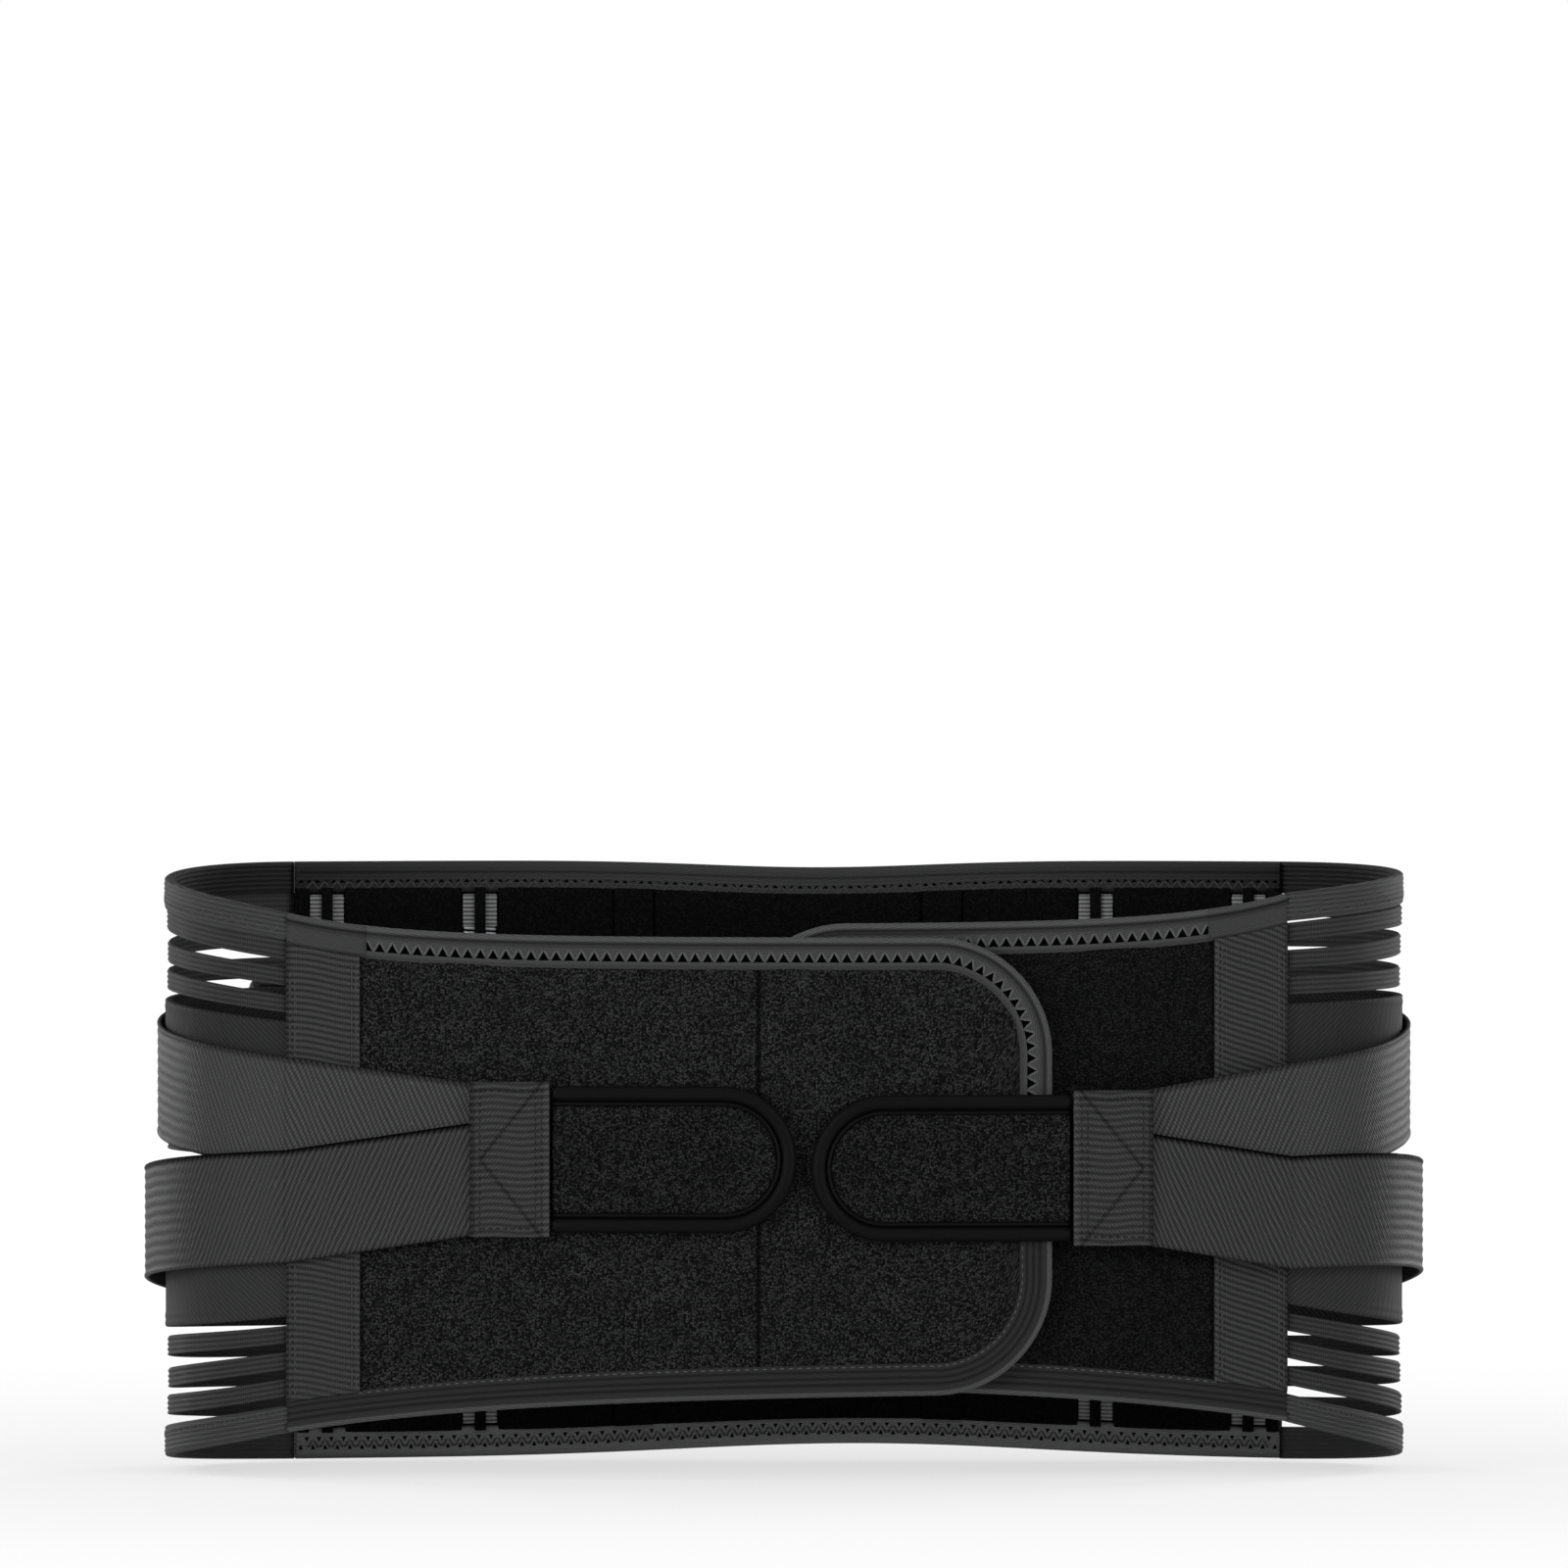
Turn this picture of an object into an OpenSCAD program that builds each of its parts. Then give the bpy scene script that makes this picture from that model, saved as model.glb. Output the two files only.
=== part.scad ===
// Wrap-around lumbar support belt: a stayed mesh back panel, slit elastic sides,
// two overlapping front wings and a pair of double pull straps running through rings.
// Sizes are in millimetres. Z is up, +Y is the way the wearer faces, +X is the wearer's right.

/* [Waist ring] */
// overall half width of the ring at the side elastic
half_width = 211; // [200:1:222]
// half depth of the ring at the middle of the back
half_depth = 65; // [60:0.5:72]
// radius of the bend at each side
side_radius = 50; // [46:0.5:54]

/* [Back panel] */
// height of the back panel
panel_h = 206; // [190:1:210]
// thickness of the spacer mesh panel
mesh_t = 4; // [3.6:0.1:5]
// thickness of the inner lining
lining_t = 1.3; // [0.8:0.1:2]
// spacing of the vertical channel bands
band_pitch = 53.5; // [51:0.5:54.5]
// width of the stay channel bands
band_w = 21.5; // [18:0.5:23]
// width of the centre band
centre_w = 25; // [20:0.5:28]
// thickness of the band webbing
band_t = 1.2; // [0.8:0.1:1.4]
// height of the edge binding
binding_h = 11; // [9:0.5:13]
// how far the binding stands proud of each face
binding_proud = 0.6; // [0.4:0.1:0.8]

/* [Spiral stays] */
// width of a stay
stay_w = 12; // [10:0.5:13]
// thickness of a stay
stay_t = 2.2; // [1.6:0.1:2.4]
// length of the steel between its tips
stay_l = 160; // [140:1:160]
// length of a moulded tip
tip_l = 8; // [6:0.5:9]

/* [Tension straps and rings] */
// width of the back tension strap
strap_w = 38; // [34:0.5:39]
// thickness of the back tension strap
strap_t = 1.3; // [1:0.1:1.5]
// height of the upper ring centre above the middle of the belt
upper_ring_z = 39; // [34:0.5:42]
// depth of the lower ring centre below the middle of the belt
lower_ring_z = 32.5; // [30:0.5:36]
// rise of the upper strap towards the middle
upper_rise = 11; // [6:0.5:13]
// rise of the lower strap towards the middle
lower_rise = 4; // [2:0.5:7]
// diameter of the ring bar
bar_d = 3.8; // [3.4:0.1:4.2]
// spacing of the two bars of a ring
bar_gap = 13; // [12:0.5:15]
// clear height of the ring window
ring_window = 40; // [39.5:0.1:43]
// bend radius of the ring corner on the bar centre line
ring_bend = 2.2; // [2.15:0.05:2.4]

/* [Side zones] */
// number of elastic strips above and below the side bands
strip_count = 3; // [2:1:3]
// height of an elastic strip at the back
strip_h = 7; // [6:0.25:9]
// slit between strips at the back
slit_h = 3.5; // [2:0.25:4]
// slit between the top tape and the strip below it
top_slit_h = 0.75; // [0.5:0.25:3.5]
// thickness of the elastic strips
strip_t = 1.6; // [1.2:0.1:2]
// height of the two middle strips' centre above the middle of the belt
middle_strips_z = 4.5; // [0:0.5:8]
// thickness of the two wide side bands
side_band_t = 2.4; // [1.8:0.1:3]
// height of the edge tape of the side zone
tape_h = 11; // [8:0.5:12]

/* [Front wings] */
// thickness of a wing panel
wing_t = 3.8; // [3:0.1:4.2]
// how far the wing binding stands proud of each face
wing_proud = 0.4; // [0.3:0.1:0.6]
// width of the wing binding
wing_binding_w = 11; // [7:0.5:13]
// height of the outer wing's lower edge at the side seam
wing_low = 14.5; // [10:0.5:16]
// drop of the outer wing's upper edge at the side seam below the panel's
wing_high = 14; // [10:0.5:17]
// how much higher the inner wing's lower edge is at its seam
inner_rise = 3.5; // [0:0.5:6]
// how much higher the inner wing's upper edge is at its seam
inner_top_rise = 6.5; // [0:0.5:7]
// how far the wings' lower edges close in towards the tip
wing_taper = 14.5; // [12:0.5:24]
// how far the outer wing's upper edge closes in
outer_taper = 8; // [5:0.5:16]
// how far the inner wing's upper edge closes in
inner_taper = 10; // [6:0.5:16]
// length over which the lower edges curve from the seam
wing_curve = 85; // [60:5:120]
// length over which the upper edges curve from the seam
top_curve = 35; // [25:5:90]
// tip of the outer wing, past the middle
outer_tip = 90; // [80:1:94]
// tip of the inner wing, past the middle
inner_tip = 20; // [10:1:30]
// corner radius of a wing tip
tip_r = 40; // [32:1:46]
// width of the band that covers the side seam
seam_band_w = 25; // [20:0.5:28]
// thickness of the hook patch inside the outer wing
hook_t = 0.8; // [0.6:0.1:0.9]
// length of the hook patch inside the outer wing's tip
hook_l = 80; // [60:1:95]
// depth of the hook patch's edge below the wing binding
hook_inset = 4; // [2:0.5:8]

/* [Pull straps and tabs] */
// width of a pull strap
pull_w = 38.4; // [34:0.2:39]
// thickness of a pull strap
pull_t = 1.2; // [1:0.1:1.4]
// height of the right patch and tab centre above the middle of the belt
right_pull_z = 5.5; // [0:0.5:8]
// height of the left patch and tab centre above the middle of the belt
left_pull_z = 2.5; // [-4:0.5:6]
// half distance between the two strap ends under a patch
pull_split = 6.5; // [4:0.5:7]
// stand-off of the upper pull strap at the side
upper_bulge = 1; // [0.6:0.1:3]
// stand-off of the lower pull strap at the side
lower_bulge = 5.5; // [3:0.1:7]
// how early the right lower pull strap climbs round the side
right_climb = 0.7; // [0:0.1:1]
// how early the left lower pull strap climbs round the side
left_climb = 1.4; // [0:0.1:1.6]
// height of a stitched patch
patch_h = 53; // [51:0.5:56]
// length of a stitched patch
patch_l = 27; // [22:0.5:30]
// thickness of a stitched patch
patch_t = 1.2; // [0.8:0.1:1.6]
// where the right tab meets its patch
right_tab_x = 80; // [78:0.5:86]
// where the left tab meets its patch
left_tab_x = 96; // [95:0.5:100]
// length of the right tab
right_tab_l = 83; // [76:1:85]
// length of the left tab
left_tab_l = 88; // [80:1:91]
// height of a tab
tab_h = 50; // [46:0.5:52]
// thickness of the tab pad
tab_t = 2.6; // [2:0.1:3]
// width of the rolled piping round a tab
piping_w = 5; // [4:0.25:6]
// thickness of the rolled piping
piping_t = 3.4; // [3:0.1:3.8]
// thickness of the hook pad under a tab
pad_t = 0.9; // [0.6:0.1:1]

/* [Clearances] */
// gap between layers sewn on one another
sewn_gap = 0.1; // [0.05:0.05:0.15]
// gap between layers that come apart
lift_gap = 0.6; // [0.5:0.05:0.8]
// gap at a seam that folds
seam_gap = 0.3; // [0.2:0.05:0.4]
// radial clearance of a ring bar in its fold
bar_gap_r = 0.07; // [0.04:0.01:0.09]

/* [Hidden] */
$fn = 96;
// radius of the long arcs at the back and the front
arc_r = side_radius + (pow(half_width - side_radius, 2) + pow(half_depth - side_radius, 2))
    / (2 * (half_depth - side_radius));
// distance of the long arcs' centres from the middle
arc_c = arc_r - half_depth;
// full thickness of a wing with its binding
wing_full = wing_t + 2 * wing_proud;
// how far the outer wing lies outside the inner one
lift = wing_full + lift_gap;
// height of the middle of the belt, and of the rings, tabs and wing edge set from it
mid_z = panel_h / 2;
upper_z = mid_z + upper_ring_z;
lower_z = mid_z - lower_ring_z;
right_z = mid_z + right_pull_z;
left_z = mid_z + left_pull_z;
wing_top_z = panel_h - wing_high;
// reach of the outline prisms, wider than the belt
reach = 2 * (half_width + half_depth);
// offsets of the layers on the back, outward from the mesh's outer face
return_t0 = band_t + sewn_gap + 0.3;
bore_r = bar_d / 2 + bar_gap_r;
bore_cut = 0.1;
bar_t = return_t0 + strap_t + bore_r - bore_cut;
over_t0 = return_t0 + strap_t + 0.2;
cover_t0 = over_t0 + strap_t + 0.2;
// offsets of the layers on the front, outward from the inner wing's outer face
pad_t0 = lift + 0.35;
tab_t0 = pad_t0 + pad_t + sewn_gap;
pull_t0 = lift + sewn_gap + band_t + 0.3;
pull_t1 = pull_t0 + pull_t + 0.15;
patch_t0 = pull_t1 + pull_t + 0.15;
front_out = max(patch_t0 + patch_t, tab_t0 + piping_t);
back_out = cover_t0 + band_t;
// shift that centres the whole belt on the origin
plan_y = (back_out - front_out) / 2;
plan_x = -lift / 4;
// heights of the three parts of a side zone at its back end
zone_h = tape_h + strip_count * (strip_h + slit_h) + slit_h;
top_zone_h = zone_h - slit_h + top_slit_h;
middle_z = mid_z + middle_strips_z;
middle_h = 2 * strip_h + 3 * slit_h;
ring_h = ring_window + bar_d;
tab_end_r = tab_h / 2;

function arc_deg(length, r) = length / r * 180 / PI;
function side_r(l) = side_radius + l / 2;
function side_y(l) = l * (2 * (arc_r - side_r(l)) + l) / (4 * arc_c);
function side_x(l) = sqrt(pow(arc_r - side_r(l), 2) - pow(arc_c - side_y(l), 2));
function back_deg(l) = atan2(side_x(l), arc_c - side_y(l));
function front_deg(l) = atan2(side_x(l), arc_c + side_y(l));
function seam_x(l) = (arc_r + l) * sin(front_deg(l));
function side_pt(l, deg, t) = [side_x(l) + (side_r(l) + t) * cos(deg), side_y(l) + (side_r(l) + t) * sin(deg)];
function front_pt(x, t) = [x * (arc_r + t) / arc_r, sqrt(arc_r * arc_r - x * x) * (arc_r + t) / arc_r - arc_c];
function back_pt(s, t) = [(arc_r + t) * sin(arc_deg(s, arc_r)), arc_c - (arc_r + t) * cos(arc_deg(s, arc_r))];
function ring_deg(l) = back_deg(l) - 90 + 2 * asin(bar_gap / 2 / (side_r(l) + bar_t));
function inner_bar(l) = side_pt(l, -(90 - back_deg(l)), bar_t);
function outer_bar(l) = side_pt(l, ring_deg(l), bar_t);
function arc_points(c, r, a0, a1, n) = [for (i = [0:n]) [c[0] + r * cos(a0 + (a1 - a0) * i / n),
    c[1] + r * sin(a0 + (a1 - a0) * i / n)]];
// place of a channel band along the back, the outermost sewn at the panel's end
function band_s(i) = abs(i) == 3 ? sign(i) * (panel_end - band_w / 2) : i * band_pitch;
function mix(a, b, k) = a + (b - a) * k;
function ease(k) = k * k * (3 - 2 * k);
// upper and lower wing edge at a distance from the middle, drawn in by the inset
function seam_low(l) = wing_low + (l > 0 ? 0 : inner_rise);
function seam_high(l) = wing_top_z + (l > 0 ? 0 : inner_top_rise);
function wing_fall(l, x, taper, curve) = taper * (1 - exp((x - seam_x(l)) / curve));
function wing_top(l, x, e) = seam_high(l) - e - wing_fall(l, x, l > 0 ? outer_taper : inner_taper, top_curve);
function wing_bottom(l, x, e) = seam_low(l) + e + wing_fall(l, x, wing_taper, wing_curve);
function wing_points(l, tip, e, x1) = concat(
    [for (i = [0:11]) let (x = mix(x1, tip_r - tip, i / 12)) [x, wing_top(l, x, e)]],
    arc_points([tip_r - tip, wing_top(l, tip_r - tip, tip_r)], tip_r - e, 90, 180, 14),
    arc_points([tip_r - tip, wing_bottom(l, tip_r - tip, tip_r)], tip_r - e, 180, 270, 14),
    [for (i = [11:-1:0]) let (x = mix(x1, tip_r - tip, i / 12)) [x, wing_bottom(l, x, e)]]);

// half length of the back panel, up to the side bends
panel_end = arc_r * back_deg(0) * PI / 180;

module in_frame(left) {
    translate([plan_x, plan_y, 0]) mirror([left, 0, 0]) children();
}

module arc_wall(r0, r1, a0, a1, z0, z1) {
    rotate([0, 0, a0]) rotate_extrude(angle = a1 - a0, $fn = r0 > 200 ? 1080 : 180)
        translate([r0, z0]) square([r1 - r0, z1 - z0]);
}

// wall on the back arc, placed by length along it
module back_wall(t0, t1, s0, s1, z0, z1) {
    translate([0, arc_c, 0])
        arc_wall(arc_r + t0, arc_r + t1, arc_deg(s0, arc_r) - 90, arc_deg(s1, arc_r) - 90, z0, z1);
}

// wall on the front arc, between two distances from the middle
module front_wall(t0, t1, x0, x1, z0, z1) {
    translate([0, -arc_c, 0])
        arc_wall(arc_r + t0, arc_r + t1, 90 - asin(x1 / arc_r), 90 - asin(x0 / arc_r), z0, z1);
}

// wall round one side bend, clear of the panels it is sewn to
module side_wall(l, t0, t1) {
    translate([side_x(l), side_y(l), 0])
        arc_wall(side_r(l) + t0, side_r(l) + t1, back_deg(l) - 90 + arc_deg(seam_gap, side_radius),
            90 - front_deg(l) - arc_deg(seam_gap, side_radius), -10, panel_h + 10);
}

module face_prism(points) {
    rotate([90, 0, 0]) linear_extrude(height = reach, center = true) polygon(points);
}

module side_prism(points) {
    rotate([90, 0, 90]) linear_extrude(height = 2 * reach, center = true) polygon(points);
}

// ribbon through stations of [inner x, inner y, outer x, outer y, bottom z, top z]
module ribbon(path) {
    n = len(path);
    corners = [for (p = path) each
        [[p[0], p[1], p[4]], [p[2], p[3], p[4]], [p[2], p[3], p[5]], [p[0], p[1], p[5]]]];
    sides = [for (i = [0:n - 2]) for (j = [0:3])
        [4 * i + j, 4 * i + (j + 1) % 4, 4 * i + 4 + (j + 1) % 4, 4 * i + 4 + j]];
    ends = [[3, 2, 1, 0], [4 * n - 4, 4 * n - 3, 4 * n - 2, 4 * n - 1]];
    polyhedron(points = corners, faces = concat(sides, ends), convexity = 10);
}

// Back panel
module stay_pocket(i) {
    s = band_s(i);
    back_wall(-mesh_t - 1, -mesh_t + stay_t + 0.3, s - stay_w / 2 - 0.5, s + stay_w / 2 + 0.5,
        mid_z - stay_l / 2 - tip_l - 1, mid_z + stay_l / 2 + tip_l + 1);
}

module mesh_panel() {
    color([0.11, 0.11, 0.12]) in_frame(0) difference() {
        union() {
            back_wall(-mesh_t, 0, -panel_end, panel_end, binding_h + sewn_gap, panel_h - binding_h - sewn_gap);
            back_wall(-mesh_t + binding_proud, -binding_proud, -panel_end, panel_end,
                binding_h / 2, panel_h - binding_h / 2);
        }
        for (i = [-3:3]) if (i != 0) stay_pocket(i);
    }
}

module lining() {
    color([0.14, 0.14, 0.15]) in_frame(0)
        back_wall(-mesh_t - sewn_gap - lining_t, -mesh_t - sewn_gap, -panel_end, panel_end,
            binding_h + sewn_gap, panel_h - binding_h - sewn_gap);
}

module stay_place(i) {
    turn = arc_deg(band_s(i), arc_r);
    translate([0, arc_c, mid_z]) rotate([0, 0, turn])
        translate([0, -arc_r + mesh_t - stay_t / 2 - 0.15, 0]) children();
}

module stay(i) {
    color([0.62, 0.63, 0.65]) in_frame(0) stay_place(i)
        cube([stay_w - 0.6, stay_t - 0.3, stay_l], center = true);
}

module stay_1() {
    stay(-3);
}

module stay_2() {
    stay(-2);
}

module stay_3() {
    stay(-1);
}

module stay_4() {
    stay(1);
}

module stay_5() {
    stay(2);
}

module stay_6() {
    stay(3);
}

module stay_tips() {
    color([0.85, 0.85, 0.83]) in_frame(0) for (i = [-3:3]) if (i != 0) for (up = [-1, 1])
        stay_place(i) translate([0, 0, up * (stay_l / 2 + sewn_gap)]) rotate([90, 0, 0])
            linear_extrude(height = stay_t, center = true) intersection() {
                translate([0, up * tip_l / 2]) square([stay_w, tip_l], center = true);
                translate([0, up * (tip_l - stay_w / 2 - 1)]) circle(r = stay_w / 2 + 1);
            }
}

module channel_band(i) {
    color([0.09, 0.09, 0.1]) in_frame(0)
        back_wall(sewn_gap, sewn_gap + band_t, band_s(i) - band_w / 2, band_s(i) + band_w / 2,
            binding_h + sewn_gap, panel_h - binding_h - sewn_gap);
}

module channel_band_1() {
    channel_band(-3);
}

module channel_band_2() {
    channel_band(-2);
}

module channel_band_3() {
    channel_band(-1);
}

module channel_band_4() {
    channel_band(1);
}

module channel_band_5() {
    channel_band(2);
}

module channel_band_6() {
    channel_band(3);
}

// strip that dips to the mesh between the straps and bridges over them
module centre_band() {
    low = arc_r + sewn_gap;
    high = arc_r + cover_t0;
    ramp = 9;
    lower = [lower_z - strap_w / 2 - 1, lower_z + lower_rise + strap_w / 2 + 1];
    upper = [upper_z - strap_w / 2 - 1, upper_z + upper_rise + strap_w / 2 + 1];
    dip = (lower[1] + upper[0]) / 2;
    path = [[low, binding_h + sewn_gap], [low, lower[0] - ramp], [high, lower[0]], [high, lower[1]],
        [high - 1, dip], [high, upper[0]], [high, upper[1]], [low, upper[1] + ramp],
        [low, panel_h - binding_h - sewn_gap]];
    outer = [for (i = [len(path) - 1:-1:0]) [path[i][0] + band_t, path[i][1]]];
    color([0.09, 0.09, 0.1]) in_frame(0) translate([0, arc_c, 0])
        rotate([0, 0, -90 - arc_deg(centre_w / 2, arc_r)])
            rotate_extrude(angle = arc_deg(centre_w, arc_r)) polygon(concat(path, outer));
}

module back_binding(z0) {
    difference() {
        back_wall(-mesh_t - sewn_gap - lining_t, sewn_gap + band_t, -panel_end, panel_end, z0, z0 + binding_h);
        back_wall(-mesh_t + binding_proud - sewn_gap, -binding_proud + sewn_gap, -panel_end - 9, panel_end + 9,
            z0 == 0 ? binding_h / 2 - sewn_gap : z0 - 1,
            z0 == 0 ? binding_h + 1 : z0 + binding_h / 2 + sewn_gap);
        for (i = [-3:3]) if (i != 0) stay_pocket(i);
    }
}

module back_top_binding() {
    color([0.06, 0.06, 0.065]) in_frame(0) back_binding(panel_h - binding_h);
}

module back_bottom_binding() {
    color([0.06, 0.06, 0.065]) in_frame(0) back_binding(0);
}

// Tension strap: an outer layer drawn to the ring, a fold round its bar and a return layer beneath
module tension_strap(l, ring_z, rise) {
    deg = back_deg(l);
    end_s = deg * PI / 180 * arc_r;
    steps = 16;
    bar = inner_bar(l);
    top = strap_w / 2;
    layer_s = [for (i = [0:steps]) mix(0.2, end_s + 0.6, i / steps)];
    layer_t = [for (s = layer_s) mix(over_t0, bar_t + bore_r - bore_cut, max(0, (s - 14) / (end_s - 14)))];
    outline = concat([for (i = [0:steps]) back_pt(layer_s[i], layer_t[i])],
        [for (i = [steps:-1:0]) back_pt(layer_s[i], layer_t[i] + strap_t)]);
    fold_r = bore_r - bore_cut;
    return_s = [for (i = [0:steps]) mix(end_s, 0.2, i / steps)];
    fold = concat(arc_points(bar, fold_r + strap_t, deg - 90, deg + 90, 18),
        [for (s = return_s) back_pt(s, return_t0)],
        [for (i = [steps:-1:0]) back_pt(return_s[i], return_t0 + strap_t)],
        arc_points(bar, fold_r, deg + 90, deg - 90, 18));
    difference() {
        union() {
            intersection() {
                linear_extrude(height = panel_h) polygon(outline);
                face_prism([[-1, ring_z + rise - top], [bar[0] + 2, ring_z - top], [bar[0] + 2, ring_z + top],
                    [-1, ring_z + rise + top]]);
            }
            translate([0, 0, ring_z - top]) linear_extrude(height = strap_w) polygon(fold);
        }
        translate([bar[0], bar[1], 0]) cylinder(r = bore_r, h = panel_h);
    }
}

module upper_right_tension_strap() {
    color([0.1, 0.1, 0.11]) in_frame(0) tension_strap(lift, upper_z, upper_rise);
}

module lower_right_tension_strap() {
    color([0.1, 0.1, 0.11]) in_frame(0) tension_strap(lift, lower_z, lower_rise);
}

module upper_left_tension_strap() {
    color([0.1, 0.1, 0.11]) in_frame(1) tension_strap(0, upper_z, upper_rise);
}

module lower_left_tension_strap() {
    color([0.1, 0.1, 0.11]) in_frame(1) tension_strap(0, lower_z, lower_rise);
}

// Ring: a round bar bent to a rounded rectangle, set on the bar that lies nearer the wearer's left
module ring(a, b, z) {
    wide = bar_gap;
    straight = ring_h - 2 * ring_bend;
    translate([a[0], a[1], z]) rotate([0, 0, atan2(b[1] - a[1], b[0] - a[0])]) {
        for (x = [0, wide]) translate([x, 0, 0]) cylinder(d = bar_d, h = straight, center = true);
        for (up = [-1, 1]) translate([ring_bend, 0, up * ring_h / 2]) rotate([0, 90, 0])
            cylinder(d = bar_d, h = wide - 2 * ring_bend);
        for (corner = [[0, 0], [1, 0], [0, 1], [1, 1]])
            translate([corner[0] == 0 ? ring_bend : wide - ring_bend, 0,
                (corner[1] == 0 ? -1 : 1) * (ring_h / 2 - ring_bend)])
                rotate([90, 0, 0])
                    rotate([0, 0, corner[0] == 0 ? (corner[1] == 0 ? 180 : 90) : (corner[1] == 0 ? 270 : 0)])
                        rotate_extrude(angle = 90) translate([ring_bend, 0]) circle(d = bar_d, $fn = 40);
    }
}

function flip(p) = [-p[0], p[1]];

module upper_right_ring() {
    color([0.16, 0.16, 0.17]) in_frame(0) ring(inner_bar(lift), outer_bar(lift), upper_z);
}

module lower_right_ring() {
    color([0.16, 0.16, 0.17]) in_frame(0) ring(inner_bar(lift), outer_bar(lift), lower_z);
}

module upper_left_ring() {
    color([0.16, 0.16, 0.17]) in_frame(0) ring(flip(outer_bar(0)), flip(inner_bar(0)), upper_z);
}

module lower_left_ring() {
    color([0.16, 0.16, 0.17]) in_frame(0) ring(flip(outer_bar(0)), flip(inner_bar(0)), lower_z);
}

// Side zones: heights run level from the back panel and close in towards the wing seam
function zone_y(l, k) = side_y(l) + side_r(l) * sin(mix(back_deg(l) - 90, 90 - front_deg(l), k));
function seam_z(l, z) = mix(seam_low(l), seam_high(l), z / panel_h);
function zone_line(l, z) = concat([[zone_y(l, 0) - 4, z]],
    [for (i = [0:10]) [zone_y(l, i / 10), mix(z, seam_z(l, z), pow(i / 10, 2))]],
    [[zone_y(l, 1) + 6, seam_z(l, z)]]);
function backward(list) = [for (i = [len(list) - 1:-1:0]) list[i]];
function zone_points(l, z0, z1) = concat(zone_line(l, z0), backward(zone_line(l, z1)));

module strips(l, up) {
    for (i = [0:strip_count - 1]) {
        low = tape_h + (up ? top_slit_h : slit_h) + i * (strip_h + slit_h);
        z0 = up ? panel_h - low - strip_h : low;
        intersection() {
            side_wall(l, -0.8 - strip_t, -0.8);
            side_prism(zone_points(l, z0, z0 + strip_h));
        }
    }
}

module side_band(l) {
    for (z = [[zone_h, middle_z - middle_h / 2], [middle_z + middle_h / 2, panel_h - top_zone_h]]) {
        intersection() {
            side_wall(l, -0.4 - side_band_t, -0.4);
            side_prism(zone_points(l, z[0], z[1]));
        }
    }
}

module middle_strips(l) {
    for (z0 = [middle_z - slit_h / 2 - strip_h, middle_z + slit_h / 2]) {
        intersection() {
            side_wall(l, -0.8 - strip_t, -0.8);
            side_prism(zone_points(l, z0, z0 + strip_h));
        }
    }
}

module side_tape(l, z0) {
    intersection() {
        side_wall(l, -3.4, 0);
        side_prism(zone_points(l, z0, z0 + tape_h));
    }
}

module right_upper_strips() {
    color([0.1, 0.1, 0.11]) in_frame(0) strips(lift, true);
}

module right_side_band() {
    color([0.12, 0.12, 0.13]) in_frame(0) side_band(lift);
}

module right_middle_strips() {
    color([0.1, 0.1, 0.11]) in_frame(0) middle_strips(lift);
}

module right_lower_strips() {
    color([0.1, 0.1, 0.11]) in_frame(0) strips(lift, false);
}

module right_top_tape() {
    color([0.06, 0.06, 0.065]) in_frame(0) side_tape(lift, panel_h - tape_h);
}

module right_bottom_tape() {
    color([0.06, 0.06, 0.065]) in_frame(0) side_tape(lift, 0);
}

module left_upper_strips() {
    color([0.1, 0.1, 0.11]) in_frame(1) strips(0, true);
}

module left_side_band() {
    color([0.12, 0.12, 0.13]) in_frame(1) side_band(0);
}

module left_middle_strips() {
    color([0.1, 0.1, 0.11]) in_frame(1) middle_strips(0);
}

module left_lower_strips() {
    color([0.1, 0.1, 0.11]) in_frame(1) strips(0, false);
}

module left_top_tape() {
    color([0.06, 0.06, 0.065]) in_frame(1) side_tape(0, panel_h - tape_h);
}

module left_bottom_tape() {
    color([0.06, 0.06, 0.065]) in_frame(1) side_tape(0, 0);
}

// Front wings
module wing_shell(l, tip, t0, t1) {
    front_wall(l + t0, l + t1, -tip - 5, arc_r * sin(front_deg(l)), 0, panel_h);
}

module wing_panel(l, tip) {
    intersection() {
        wing_shell(l, tip, -wing_t - wing_proud, -wing_proud);
        face_prism(wing_points(l, tip, wing_binding_w + sewn_gap, seam_x(l) + 6));
    }
}

module wing_binding(l, tip) {
    intersection() {
        wing_shell(l, tip, -wing_full, 0);
        difference() {
            face_prism(wing_points(l, tip, 0, seam_x(l) + 6));
            face_prism(wing_points(l, tip, wing_binding_w, seam_x(l) + 9));
        }
    }
}

module wing_band(l, tip) {
    x1 = seam_x(l) + 6;
    x0 = seam_x(l) - seam_band_w;
    e = wing_binding_w + 0.5;
    intersection() {
        wing_shell(l, tip, -wing_proud + sewn_gap, -wing_proud + sewn_gap + band_t);
        face_prism([[x0, wing_bottom(l, x0, e)], [x1, wing_bottom(l, x1, e)], [x1, wing_top(l, x1, e)],
            [x0, wing_top(l, x0, e)]]);
    }
}

module hook_shape(gap) {
    intersection() {
        wing_shell(lift, outer_tip, -wing_full - gap, -wing_full + hook_t + gap);
        face_prism(wing_points(lift, outer_tip, wing_binding_w + hook_inset - gap, hook_l - outer_tip + gap));
    }
}

module outer_wing_panel() {
    color([0.1, 0.1, 0.11]) in_frame(0) difference() {
        wing_panel(lift, outer_tip);
        hook_shape(sewn_gap);
    }
}

module outer_wing_binding() {
    color([0.06, 0.06, 0.065]) in_frame(0) wing_binding(lift, outer_tip);
}

module outer_wing_band() {
    color([0.09, 0.09, 0.1]) in_frame(0) wing_band(lift, outer_tip);
}

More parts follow.
